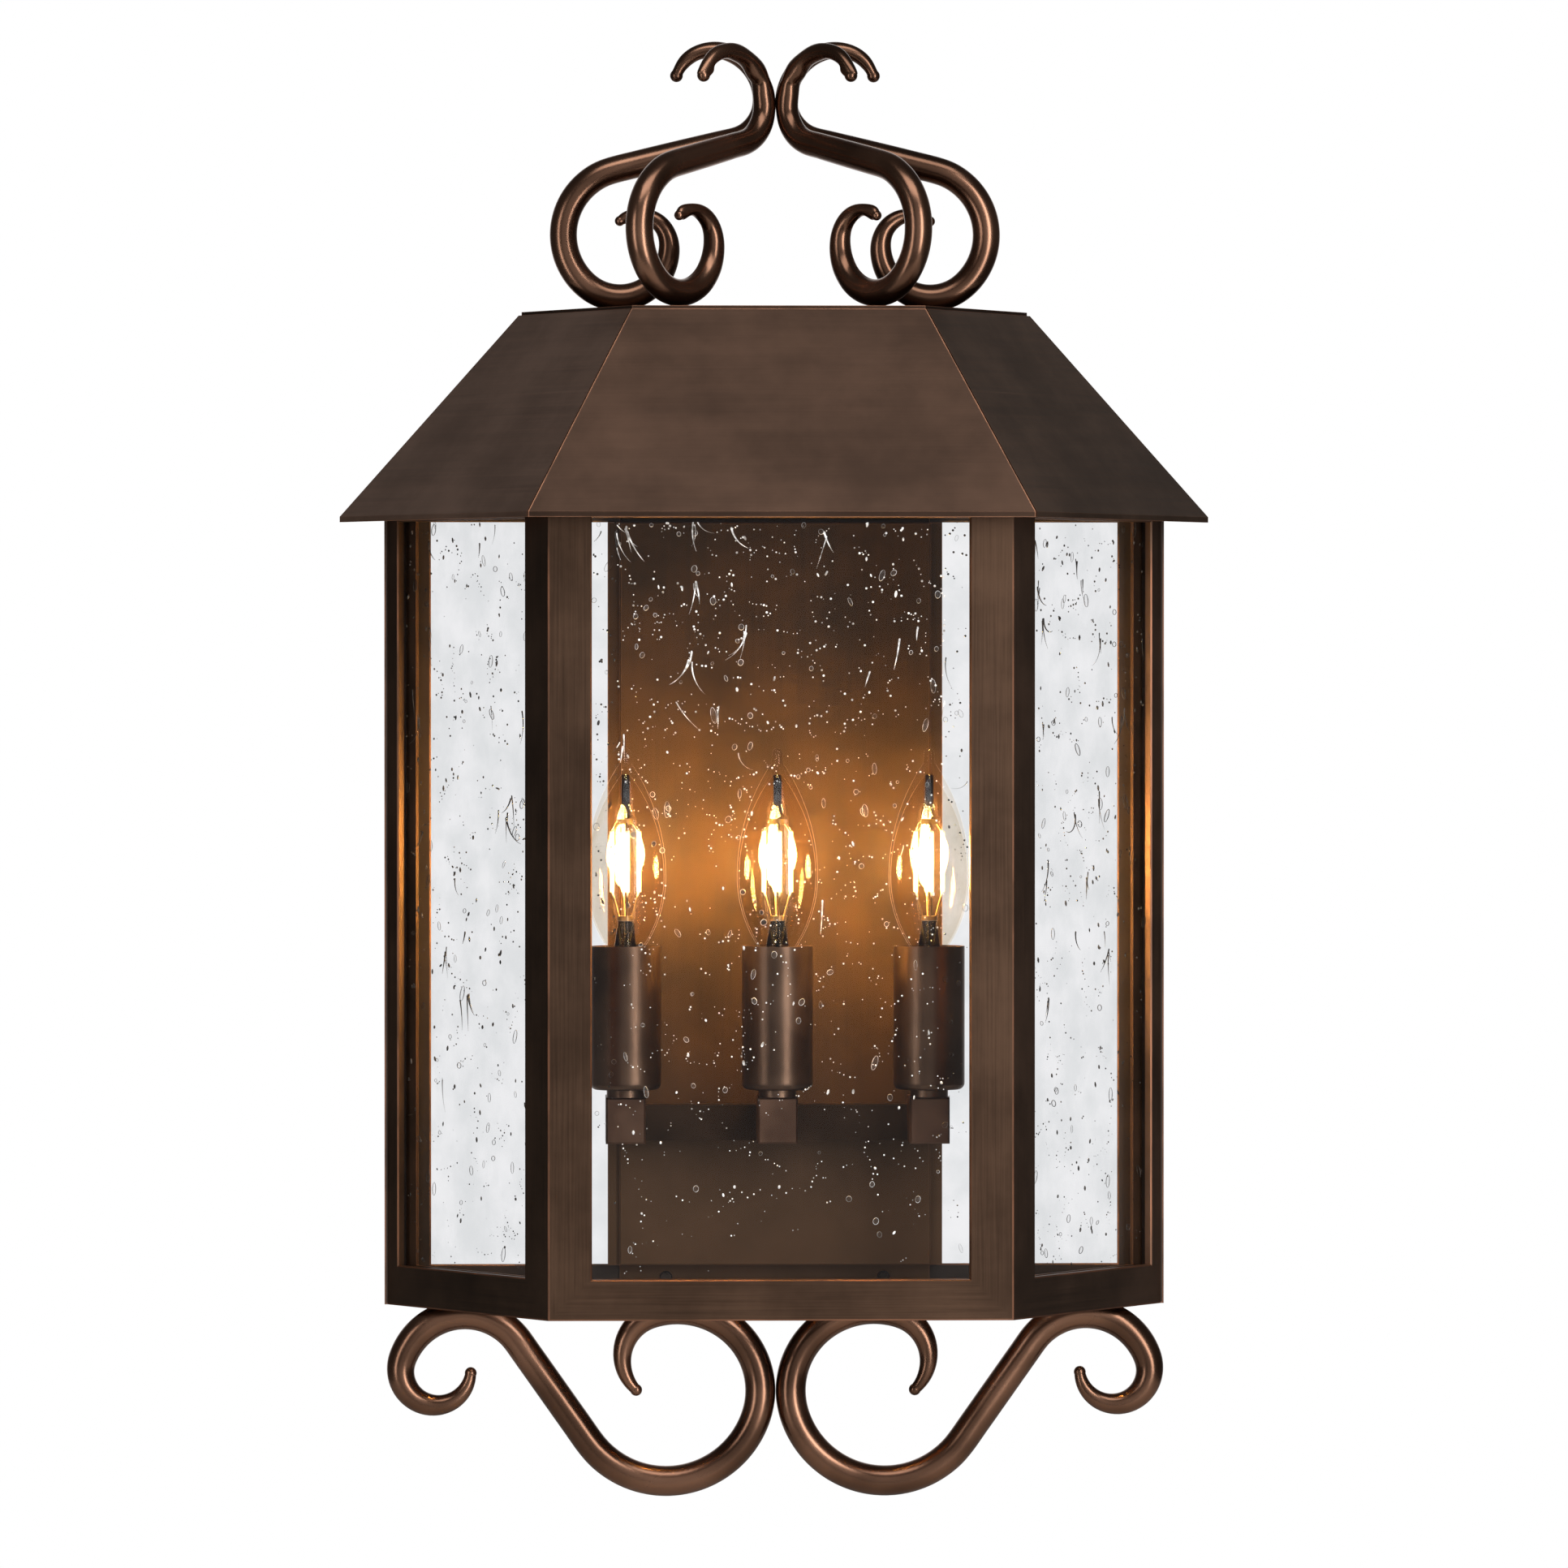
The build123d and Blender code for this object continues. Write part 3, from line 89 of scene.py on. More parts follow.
def add(tree, kind, inputs, **options):
    """Adds one node, sets its options and feeds its inputs."""
    node = tree.nodes.new(kind)
    for option, value in options.items():
        setattr(node, option, value)
    for socket, value in inputs.items():
        feed(tree, node.inputs[socket], value)
    return node


def maths(tree, operation, *values):
    """One sum: ADD, MULTIPLY, ABSOLUTE and so on."""
    return add(tree, "ShaderNodeMath", dict(enumerate(values)), operation=operation).outputs[0]


def fade(tree, value, start, end, low=0.0, high=1.0):
    """Goes softly from low to high while value goes from start to end."""
    inputs = {0: value, 1: start, 2: end, 3: low, 4: high}
    return add(tree, "ShaderNodeMapRange", inputs, interpolation_type="SMOOTHSTEP").outputs[0]


def mixed(tree, share, first, second):
    """A colour between two colours."""
    inputs = {0: share, 6: first, 7: second}
    return add(tree, "ShaderNodeMix", inputs, data_type="RGBA").outputs[2]


print("wiring helpers: feed, add, maths, fade, mixed")

# %% [markdown]
# Colours are written as they look on a screen, and lengths of grain as they are on the lantern.

# %% Finish helpers
def colour(red, green, blue):
    """A screen colour, 0 to 255, as the shader's own linear values."""
    def linear(value):
        value = value / 255.0
        return value / 12.92 if value <= 0.04045 else ((value + 0.055) / 1.055) ** 2.4
    return (linear(red), linear(green), linear(blue), 1.0)


def finish(name):
    """An empty finish: its network, its shader and its place coordinates."""
    material = bpy.data.materials.new(name)
    material.use_nodes = True
    tree = material.node_tree
    shader = tree.nodes["Principled BSDF"]
    place = tree.nodes.new("ShaderNodeTexCoord").outputs["Object"]
    return material, tree, shader, place


def grain(tree, place, size, detail=3.0, roughness=0.55):
    """Cloudy noise whose blotches are about size metres across."""
    inputs = {"Vector": place, "Scale": 1.0 / size, "Detail": detail, "Roughness": roughness}
    return add(tree, "ShaderNodeTexNoise", inputs).outputs[0]


def raised(tree, shader, height, strength, distance):
    """Makes the surface look raised where height is high."""
    bump = add(tree, "ShaderNodeBump", {"Strength": strength, "Distance": distance, "Height": height})
    feed(tree, shader.inputs["Normal"], bump.outputs[0])


def dress(material, *names):
    """Puts a finish on some of the lantern's parts."""
    for name in names:
        for slot in parts[name].material_slots:
            slot.material = material
    print(material.name, "on", len(names), "parts")


print("finish helpers: colour, finish, grain, raised, dress")

# %% [markdown]
# ## Light
# The studio is white behind the lantern and dim in front of it, which gives dark metal with thin bright rims.
# So the world is plain white for what the camera sees, straight or through glass. For a ray that has bounced
# off metal it is white only towards the wall side, and for soft light all round it is half as bright.

# %% World
DIM_IN_FRONT, SOFT_LIGHT = 0.07, 0.5
world = bpy.data.worlds.new("studio")
world.use_nodes = True
bpy.context.scene.world = world
sky = world.node_tree
path = sky.nodes.new("ShaderNodeLightPath").outputs
direction = sky.nodes.new("ShaderNodeTexCoord").outputs["Generated"]
to_wall = add(sky, "ShaderNodeSeparateXYZ", {0: direction}).outputs[1]
mirror_level = fade(sky, to_wall, 0.72, 0.97, DIM_IN_FRONT, 1.0)
bounces = maths(sky, "MINIMUM", maths(sky, "ADD", path["Diffuse Depth"], path["Glossy Depth"]), 1.0)
unbounced = maths(sky, "SUBTRACT", 1.0, bounces)
through_glass = maths(sky, "MULTIPLY", path["Is Transmission Ray"], unbounced)
seen = maths(sky, "MAXIMUM", path["Is Camera Ray"], through_glass)
mirrored = maths(sky, "MINIMUM", maths(sky, "ADD", path["Is Glossy Ray"], path["Glossy Depth"]), 1.0)
around = add(sky, "ShaderNodeMix", {0: mirrored, 2: SOFT_LIGHT, 3: mirror_level}).outputs[0]
backdrop = sky.nodes["Background"]
feed(sky, backdrop.inputs["Color"], (1.0, 1.0, 1.0, 1.0))
feed(sky, backdrop.inputs["Strength"], maths(sky, "MAXIMUM", seen, around))
bpy.context.scene.view_settings.view_transform = "Standard"
print("white studio, dim in front")

# %% [markdown]
# Soft boxes stand at the front. A tall one on the right draws the long highlights down the rods, a wide one
# above and a weaker one on the left fill in the rest, and a large dim one behind the camera lifts what faces it.

# %% Soft boxes
def soft_box(name, place, target, width, height, power):
    """A rectangular studio lamp that looks at a point."""
    lamp = bpy.data.lights.new(name, "AREA")
    lamp.shape, lamp.size, lamp.size_y = "RECTANGLE", width, height
    lamp.energy = power
    box = bpy.data.objects.new(name, lamp)
    box.location = place
    box.rotation_euler = (Vector(target) - Vector(place)).to_track_quat("-Z", "Y").to_euler()
    bpy.context.collection.objects.link(box)


middle = (0.0, -0.05, 0.1)
soft_box("tall_box_right", (1.05, -1.9, 0.35), middle, 0.5, 1.9, 26.0)
soft_box("tall_box_left", (-1.5, -1.5, 0.2), middle, 0.4, 1.6, 9.0)
soft_box("top_box", (0.1, -1.2, 1.7), middle, 1.6, 0.8, 14.0)
soft_box("front_box", (0.3, -4.3, 0.4), middle, 3.6, 3.6, 17.0)
print("four soft boxes")

# %% [markdown]
# The floor is a plain pale sheet well below the lantern, out of the picture's frame.

# %% Floor
half, level_z = 1.2, -0.55
floor_mesh = bpy.data.meshes.new("floor")
corners = [(x, y, level_z) for x, y in ((-half, -half), (half, -half), (half, half), (-half, half))]
floor_mesh.from_pydata(corners, [], [(0, 1, 2, 3)])
floor = bpy.data.objects.new("floor", floor_mesh)
bpy.context.collection.objects.link(floor)
pale, tree, shader, place = finish("pale_floor")
floor_shade = mixed(tree, grain(tree, place, 0.3), colour(226, 226, 224), colour(236, 236, 234))
feed(tree, shader.inputs["Base Color"], floor_shade)
feed(tree, shader.inputs["Roughness"], 0.9)
floor_mesh.materials.append(pale)
print("floor at", level_z)

# %% [markdown]
# ## Brushed bronze
# The frames are brass strip, brushed along its length and darkened with a brown patina.
# Brushing is a noise pattern squeezed in one direction, so its blotches become long thin lines.
# Where the patina rubs off at edges and joints, warm copper shows. The Bevel node finds those edges:
# it rounds the surface's normal near an edge, and the difference from the true normal marks it.

# %% Edge wear and brushing
def worn_edges(tree, place, width):
    """1 along the sharp edges, broken up a little, and 0 elsewhere."""
    rounded = add(tree, "ShaderNodeBevel", {"Radius": width}, samples=6).outputs[0]
    flat = tree.nodes.new("ShaderNodeNewGeometry").outputs["Normal"]
    turned = add(tree, "ShaderNodeVectorMath", {0: rounded, 1: flat}, operation="DOT_PRODUCT").outputs["Value"]
    bent = fade(tree, maths(tree, "SUBTRACT", 1.0, turned), 0.01, 0.16)
    return maths(tree, "MULTIPLY", bent, fade(tree, grain(tree, place, 0.012), 0.25, 0.6, 0.35, 1.0))


def brushing(tree, along, across, length, width, shift=0.0):
    """Fine lines of about that length and width, running along the strip."""
    squeezed = {0: maths(tree, "DIVIDE", along, length), 1: maths(tree, "DIVIDE", across, width), 2: shift}
    squeezed = add(tree, "ShaderNodeCombineXYZ", squeezed).outputs[0]
    inputs = {"Vector": squeezed, "Scale": 1.0, "Detail": 3.0, "Roughness": 0.6}
    return add(tree, "ShaderNodeTexNoise", inputs).outputs[0]


def blended(tree, *layers):
    """Several patterns added up, each with its share."""
    total = None
    for pattern, share in layers:
        layer = maths(tree, "MULTIPLY", pattern, share)
        total = layer if total is None else maths(tree, "ADD", total, layer)
    return total


print("edge wear and brushing")

# %% [markdown]
# The lantern is half a hexagon in plan: a front wall and two slanted side walls. A point's place on a wall
# is its level distance from the wall's middle and its height. Its distances to the wall's ends, top and
# bottom follow from these.

# %% Places on a wall
WALL_TURN = math.radians(57.03)
FRONT_HALF = 0.1  # half the width of the front wall
SIDE_REACH, SIDE_DEPTH = 0.072, 0.111  # how far a side wall runs outwards and back
BODY_MIDDLE, BODY_HALF = 0.0512, 0.1812  # middle of the glazed body, and half its height
RAIL, STILE = 0.0176, 0.0188  # widths of a frame's rails and stiles
SIDE_STILES = (STILE, 0.011)
REAR_STILE, REAR_HALF = 0.0205, 0.172


def wall_axes(tree, place, side):
    """The level distance from the middle of a wall, its height, and its half width: side is -1, 0 or 1."""
    axes = add(tree, "ShaderNodeSeparateXYZ", {0: place}).outputs
    if side == 0:
        return axes[0], axes[2], FRONT_HALF
    cos_turn, sin_turn = math.cos(WALL_TURN), math.sin(WALL_TURN)
    outwards = maths(tree, "MULTIPLY_ADD", axes[0], side * cos_turn, -FRONT_HALF * cos_turn)
    inwards = maths(tree, "MULTIPLY_ADD", axes[1], sin_turn, SIDE_DEPTH * sin_turn)
    half_wall = 0.5 * math.hypot(SIDE_REACH, SIDE_DEPTH)
    along = maths(tree, "SUBTRACT", maths(tree, "ADD", outwards, inwards), half_wall)
    return along, axes[2], half_wall


def smallest(tree, *values):
    """The least of several wires."""
    least = values[0]
    for value in values[1:]:
        least = maths(tree, "MINIMUM", least, value)
    return least


print("side walls turned by", round(math.degrees(WALL_TURN), 2), "degrees")

# %% [markdown]
# A frame is four strips. On its upright strips the brushing runs up, and on its rails it runs across.
# The distances to the wall's ends and to its top and bottom tell which strip a point is on.
# They also give a thin rubbed line along every edge of the frame and of its window, on the outer face only; near
# the top, under the eave, that line fades nearly away as painted shade.

# %% Frame finish
def frame_bronze(name, side, dark, warm, stiles=(STILE, STILE), half_wall=None, roughness=0.36, metal=0.95):
    """Brushed bronze for the frame of one wall, with its edges rubbed to copper."""
    material, tree, shader, place = finish(name)
    along, up, half = wall_axes(tree, place, side)
    half = half_wall or half
    first = maths(tree, "ADD", along, half)
    last = maths(tree, "SUBTRACT", half, along)
    off_middle = maths(tree, "ABSOLUTE", maths(tree, "SUBTRACT", up, BODY_MIDDLE))
    level_gap = maths(tree, "SUBTRACT", BODY_HALF, off_middle)
    rail = fade(tree, maths(tree, "SUBTRACT", smallest(tree, first, last), level_gap), -0.002, 0.002)
    upright_lines = brushing(tree, up, along, 0.06, 0.0009)
    rail_lines = brushing(tree, along, up, 0.06, 0.0009, 7.0)
    lines = add(tree, "ShaderNodeMix", {0: rail, 2: upright_lines, 3: rail_lines}).outputs[0]
    tone = blended(tree, (lines, 0.3), (grain(tree, place, 0.045, 4.0), 0.7))
    patina_and_painted_light = mixed(tree, fade(tree, tone, 0.3, 0.7), dark, warm)
    strips = ((stiles[0], first), (stiles[1], last), (RAIL, level_gap))
    to_window = [maths(tree, "SUBTRACT", width, gap) for width, gap in strips]
    window_gap = maths(tree, "MAXIMUM", maths(tree, "MAXIMUM", to_window[0], to_window[1]), to_window[2])
    nearest = smallest(tree, first, last, level_gap, window_gap)
    outer_face = fade(tree, nearest, 0.00002, 0.0001)
    edge = maths(tree, "MULTIPLY", fade(tree, nearest, 0.0003, 0.0009, 1.0, 0.0), outer_face)
    wear_with_painted_shade = maths(tree, "MULTIPLY", edge, fade(tree, grain(tree, place, 0.03), 0.3, 0.65, 0.25, 0.9))
    # Near the top, under the eave, the rubbed copper fades nearly away: painted shade.
    wear_with_painted_shade = maths(tree, "MULTIPLY", wear_with_painted_shade, fade(tree, up, 0.195, 0.211, 1.0, 0.1))
    feed(tree, shader.inputs["Base Color"], mixed(tree, wear_with_painted_shade, patina_and_painted_light, colour(150, 104, 80)))
    feed(tree, shader.inputs["Metallic"], metal)
    feed(tree, shader.inputs["Roughness"], fade(tree, lines, 0.2, 0.8, roughness, roughness + 0.12))
    raised(tree, shader, lines, 0.08, 0.0002)
    return material


# The four walls are one bronze. Their colours differ only as painted light and shade: the right wall is painted
# lighter, the left wall and the rear frame darker.
front_bronze = frame_bronze("front_bronze", 0, colour(68, 51, 40), colour(96, 73, 58))
left_bronze_painted_shade = frame_bronze("left_bronze_painted_shade", -1, colour(58, 44, 34), colour(86, 66, 52),
                           SIDE_STILES, roughness=0.42)
right_bronze_painted_light = frame_bronze("right_bronze_painted_light", 1, colour(76, 59, 48), colour(108, 84, 69),
                            SIDE_STILES, roughness=0.42)
rear_bronze_painted_shade = frame_bronze("rear_bronze_painted_shade", 0, colour(40, 29, 21), colour(60, 45, 34),
                           (REAR_STILE, REAR_STILE), REAR_HALF, 0.6, 0.3)
dress(front_bronze, "front_frame")
dress(left_bronze_painted_shade, "side_frame_left")
dress(right_bronze_painted_light, "side_frame_right")
dress(rear_bronze_painted_shade, "rear_frame")

# %% [markdown]
# The wall plate is one broad sheet brushed upwards. It is darker than the frames, and cloudy,
# so that the amber light of the lamps can be seen spreading over it. Towards the bottom it is painted lighter:
# painted light from the lamps' glow.
# The strips that hold the glass have the same soft finish, a little warmer, and are painted lighter low down too.

# %% Plate finish
def sheet_bronze(name, dark, warm, painted_glow_low):
    """Upright brushing and soft clouds for the sheets inside the body; the last colour is the lighter tone low
    down, painted light from the lamps' glow.
    """
    material, tree, shader, place = finish(name)
    axes = add(tree, "ShaderNodeSeparateXYZ", {0: place}).outputs
    lines = brushing(tree, axes[2], axes[0], 0.12, 0.0016)
    tone = blended(tree, (lines, 0.25), (grain(tree, place, 0.04, 5.0), 0.75))
    patina_and_painted_light = mixed(tree, fade(tree, tone, 0.3, 0.7), dark, warm)
    # Lighter towards the bottom: painted light from the lamps' glow.
    patina_and_painted_light = mixed(tree, fade(tree, axes[2], -0.11, 0.0, 0.85, 0.0), patina_and_painted_light, painted_glow_low)
    rubbed = mixed(tree, worn_edges(tree, place, 0.0008), patina_and_painted_light, colour(120, 86, 64))
    feed(tree, shader.inputs["Base Color"], rubbed)
    feed(tree, shader.inputs["Metallic"], 0.3)
    feed(tree, shader.inputs["Specular IOR Level"], 0.12)
    feed(tree, shader.inputs["Roughness"], fade(tree, tone, 0.3, 0.7, 0.45, 0.58))
    return material


plate_bronze = sheet_bronze("plate_bronze", colour(38, 28, 19), colour(58, 40, 23), colour(92, 66, 44))
retainer_bronze = sheet_bronze("retainer_bronze", colour(50, 36, 26), colour(72, 50, 35), colour(72, 50, 35))
dress(plate_bronze, "wall_plate", "glass_clips", "roof_brackets")
dress(retainer_bronze, "retainer_front", "retainer_left", "retainer_right")

# %% [markdown]
# ## Roof
# The roof sheets are brushed level, parallel to the eave, and mottled with copper where the patina is thin.

# %% Roof finish
def roof_bronze(name, side, dark, warm):
    """Level brushing and copper mottling for one slope of the roof."""
    material, tree, shader, place = finish(name)
    along, up, _ = wall_axes(tree, place, side)
    lines = brushing(tree, along, up, 0.10, 0.0009)
    bands = brushing(tree, along, up, 0.12, 0.014, 3.0)
    clouds = grain(tree, place, 0.05, 6.0, 0.62)
    tone = blended(tree, (lines, 0.2), (bands, 0.25), (clouds, 0.55))
    patina_and_painted_light = mixed(tree, fade(tree, tone, 0.34, 0.66), dark, warm)
    rubbed = mixed(tree, worn_edges(tree, place, 0.0009), patina_and_painted_light, colour(168, 120, 94))
    feed(tree, shader.inputs["Base Color"], rubbed)
    feed(tree, shader.inputs["Metallic"], 0.95)
    feed(tree, shader.inputs["Roughness"], fade(tree, lines, 0.2, 0.8, 0.36, 0.46))
    raised(tree, shader, lines, 0.08, 0.0002)
    return material


# The three slopes are one bronze. The side slopes are painted much lighter than the front one, the left lighter
# than the right: painted light.
roof_front_bronze = roof_bronze("roof_front_bronze", 0, colour(56, 42, 34), colour(78, 59, 48))
roof_left_bronze_painted_light = roof_bronze("roof_left_bronze_painted_light", -1, colour(129, 102, 86), colour(163, 131, 113))
roof_right_bronze_painted_light = roof_bronze("roof_right_bronze_painted_light", 1, colour(95, 75, 61), colour(129, 103, 86))
dress(roof_front_bronze, "roof_front", "roof_top_plate", "roof_back", "ceiling_plate")
dress(roof_left_bronze_painted_light, "roof_left")
dress(roof_right_bronze_painted_light, "roof_right")

# %% [markdown]
# ## Scroll rods and lamp fittings
# The rods are bent and drawn to a point while hot, then rubbed smooth. Their patina is satin and even,
# with slow changes from brown to copper, so one large soft noise does the work.

# %% Satin bronze
def satin_bronze(name, dark, warm, roughness, blotch=0.04, rounding=None):
    """Smooth bronze with slow changes of tone; rounding evens out the bends of a rod."""
    material, tree, shader, place = finish(name)
    tone = grain(tree, place, blotch, 2.0, 0.45)
    feed(tree, shader.inputs["Base Color"], mixed(tree, fade(tree, tone, 0.35, 0.65), dark, warm))
    feed(tree, shader.inputs["Metallic"], 1.0)
    feed(tree, shader.inputs["Roughness"], fade(tree, tone, 0.3, 0.7, roughness, roughness + 0.05))
    if rounding:
        evened = add(tree, "ShaderNodeBevel", {"Radius": rounding}, samples=12).outputs[0]
        feed(tree, shader.inputs["Normal"], evened)
    return material


def for_lamps(kind):
    """The names of the left, center and right part of one kind."""
    return [f"{kind}_{lamp}" for lamp in lamps]


sides = ("left", "right")
lamps = ("left", "center", "right")
rods = [f"top_scroll_{row}_{side}" for row in ("front", "rear") for side in sides]
rods += [f"bottom_scroll_{side}" for side in sides] + ["scroll_bar"]
rod_bronze = satin_bronze("rod_bronze", colour(100, 73, 58), colour(138, 102, 82), 0.23, rounding=0.0012)
cover_bronze = satin_bronze("cover_bronze", colour(94, 72, 57), colour(120, 94, 76), 0.34, 0.03)
arm_bronze = satin_bronze("arm_bronze", colour(96, 70, 55), colour(120, 90, 72), 0.38, 0.02)
# The socket bar is the same bronze painted much darker: painted shade where it lies in the arms' shadow.
bar_bronze_painted_shade = satin_bronze("bar_bronze_painted_shade", colour(46, 34, 25), colour(62, 47, 36), 0.5)
dress(rod_bronze, *rods)
dress(cover_bronze, *for_lamps("socket_cover"), "collars")
dress(arm_bronze, *for_lamps("socket_arm"))
dress(bar_bronze_painted_shade, "socket_bar")

# %% [markdown]
# ## Small parts
# Screws, bracket, nipples and caps keep their own metals. Plated metal has fine crystals of slightly
# different tone, so each of these is one fine noise between two close shades.

# %% Other metals
def plain_metal(name, dark, light, roughness, fleck=0.004):
    """Zinc, nickel, brass and screws: fine crystals of slightly different tone."""
    material, tree, shader, place = finish(name)
    flecks = grain(tree, place, fleck, 3.0)
    feed(tree, shader.inputs["Base Color"], mixed(tree, fade(tree, flecks, 0.3, 0.7), dark, light))
    feed(tree, shader.inputs["Metallic"], 1.0)
    feed(tree, shader.inputs["Roughness"], fade(tree, flecks, 0.3, 0.7, roughness, roughness + 0.12))
    return material


blackened_screw = plain_metal("blackened_screw", colour(48, 42, 38), colour(72, 62, 56), 0.35)
zinc = plain_metal("zinc", colour(150, 152, 154), colour(190, 192, 194), 0.32, 0.006)
green_screw = plain_metal("green_screw", colour(40, 112, 62), colour(60, 140, 84), 0.35)
shell_brass = plain_metal("shell_brass", colour(178, 138, 74), colour(206, 168, 100), 0.3)
cap_nickel = plain_metal("cap_nickel", colour(160, 150, 138), colour(196, 188, 176), 0.25)
dress(blackened_screw, "clip_screws", "roof_screws", "plate_screws", "bar_screws", "side_screws")
dress(zinc, "mounting_bracket", "nipples", "lock_nuts")
dress(green_screw, "ground_screw")
dress(shell_brass, "screw_shells", "center_contacts")
dress(cap_nickel, *for_lamps("bulb_cap"))

# %% [markdown]
# Moulded plastic has an even colour. Only its skin is faintly pitted.

# %% Plastics and sleeves
def moulded(name, dark, light, roughness):
    """Moulded plastic: an even colour with a faint pitted skin."""
    material, tree, shader, place = finish(name)
    skin = grain(tree, place, 0.0007, 2.0)
    feed(tree, shader.inputs["Base Color"], mixed(tree, grain(tree, place, 0.01), dark, light))
    feed(tree, shader.inputs["Roughness"], fade(tree, skin, 0.3, 0.7, roughness, roughness + 0.1))
    raised(tree, shader, skin, 0.1, 0.0001)
    return material


holder_plastic = moulded("holder_plastic", colour(52, 44, 38), colour(66, 56, 48), 0.4)
block_plastic = moulded("block_plastic", colour(222, 219, 208), colour(236, 233, 224), 0.45)
lead_sleeve = moulded("lead_sleeve", colour(34, 34, 36), colour(52, 52, 54), 0.5)
dress(holder_plastic, *for_lamps("lampholder"))
dress(block_plastic, "terminal_block")
dress(lead_sleeve, "socket_leads")

# %% [markdown]
# ## Glass
# Thin clear sheet hardly bends what is behind it, so it is mixed from two shaders. Straight see-through with a
# faint cloudy tint does most of the work, and a mirror takes over towards the grazing angles, as the Layer Weight
# node measures them. Rays on their way to a lamp go straight through.

# %% Clear glass
def facing_away(tree):
    """0 where the surface faces the eye, and 1 where it is seen edge on."""
    return add(tree, "ShaderNodeLayerWeight", {"Blend": 0.5}).outputs["Facing"]


def shaded(tree, share, first, second):
    """Ends a finish with a mix of two shaders."""
    both = add(tree, "ShaderNodeMixShader", {0: share, 1: first.outputs[0], 2: second.outputs[0]})
    feed(tree, tree.nodes["Material Output"].inputs["Surface"], both.outputs[0])


def clear_glass(name, tint_dark, tint_light, least, most, start, painted_rim_glow=None):
    """See-through glass that mirrors more and more from start to the grazing angle; the last argument adds a pale
    edge of painted light.
    """
    material, tree, shader, place = finish(name)
    slant = facing_away(tree)
    tint = mixed(tree, fade(tree, grain(tree, place, 0.02, 4.0), 0.3, 0.7), tint_dark, tint_light)
    through = add(tree, "ShaderNodeBsdfTransparent", {"Color": tint})
    silver = mixed(tree, grain(tree, place, 0.03), colour(236, 236, 238), colour(252, 252, 252))
    feed(tree, shader.inputs["Base Color"], silver)
    feed(tree, shader.inputs["Metallic"], 1.0)
    feed(tree, shader.inputs["Roughness"], 0.03)
    if painted_rim_glow:
        feed(tree, shader.inputs["Emission Color"], (1.0, 0.86, 0.66, 1.0))
        feed(tree, shader.inputs["Emission Strength"], fade(tree, slant, 0.82, 0.99, 0.0, painted_rim_glow))
    to_lamp = tree.nodes.new("ShaderNodeLightPath").outputs["Is Shadow Ray"]
    mirror = fade(tree, slant, start, 1.0, least, most)
    share = maths(tree, "MULTIPLY", mirror, maths(tree, "SUBTRACT", 1.0, to_lamp))
    shaded(tree, share, through, shader)
    return material


front_glass = clear_glass("front_glass", colour(240, 241, 242), colour(248, 248, 249), 0.012, 0.9, 0.6)
side_glass = clear_glass("side_glass", colour(239, 240, 241), colour(248, 248, 249), 0.02, 0.9, 0.7)
dress(front_glass, "glass_front")
dress(side_glass, "glass_left", "glass_right")

# %% [markdown]
# ## Seeds
# Each bubble is a small drop of its own, half sunk in the outer face of the pane. Most are tiny and lie in
# short chains, some are larger and show as rings, and some were drawn out into teardrops and hairs.
# Their brightness is painted: over the dark plate they are painted light, with a painted glow, and over white
# they are painted shade with dark rims.

# %% Seed finishes
def seed_finish(name, dim, bright, edge, least, most, painted_glow=0.0):
    """Solid or see-through in the middle, and the other at the rim; the last argument is painted light, an
    emission standing for the light that a bubble gathers.
    """
    material, tree, shader, place = finish(name)
    slant = facing_away(tree)
    shade = mixed(tree, fade(tree, grain(tree, place, 0.004), 0.35, 0.65), dim, bright)
    feed(tree, shader.inputs["Base Color"], shade)
    feed(tree, shader.inputs["Roughness"], 0.12)
    if painted_glow:
        feed(tree, shader.inputs["Emission Color"], shade)
        feed(tree, shader.inputs["Emission Strength"], painted_glow)
    clear = tree.nodes.new("ShaderNodeBsdfTransparent")
    shaded(tree, fade(tree, slant, *edge, least, most), clear, shader)
    return material


# Painted light for seeds over the dark plate, painted shade for seeds over white.
painted_light_dim, painted_light_bright = colour(120, 116, 112), colour(240, 240, 240)
painted_shade_dim, painted_shade_bright = colour(14, 12, 11), colour(74, 68, 64)
seed_finishes = [
    seed_finish("dot_painted_light", painted_light_dim, painted_light_bright, (0.2, 0.9), 1.0, 0.2, 0.5),
    seed_finish("ring_painted_light", painted_light_dim, painted_light_bright, (0.3, 0.55), 0.02, 0.95, 0.4),
    seed_finish("dot_painted_shade", painted_shade_dim, painted_shade_bright, (0.2, 0.9), 0.95, 0.3),
    seed_finish("ring_painted_shade", painted_shade_dim, painted_shade_bright, (0.3, 0.55), 0.02, 0.9),
]
print(len(seed_finishes), "seed finishes")

# %% [markdown]
# A dice with a fixed start throws the places, so that the seeds are the same each time.
# Tiny seeds follow short bent chains, and a hair of gas is a row of drops that overlap and thin out.

# %% Where the seeds lie
DOT_RADII = (0.00022, 0.0003, 0.0004, 0.0006)
CHAIN_LENGTHS = (1, 1, 1, 1, 2, 3, 6)
SHAPES = (("ring", (1.0, 1.35), 0.4), ("tear", (1.7, 3.0), 0.3), ("bead", (1.2, 2.6), 0.3))
RIM_X, RIM_Y = 0.0008, 0.0015  # the strip beside the frame that stays free of seeds


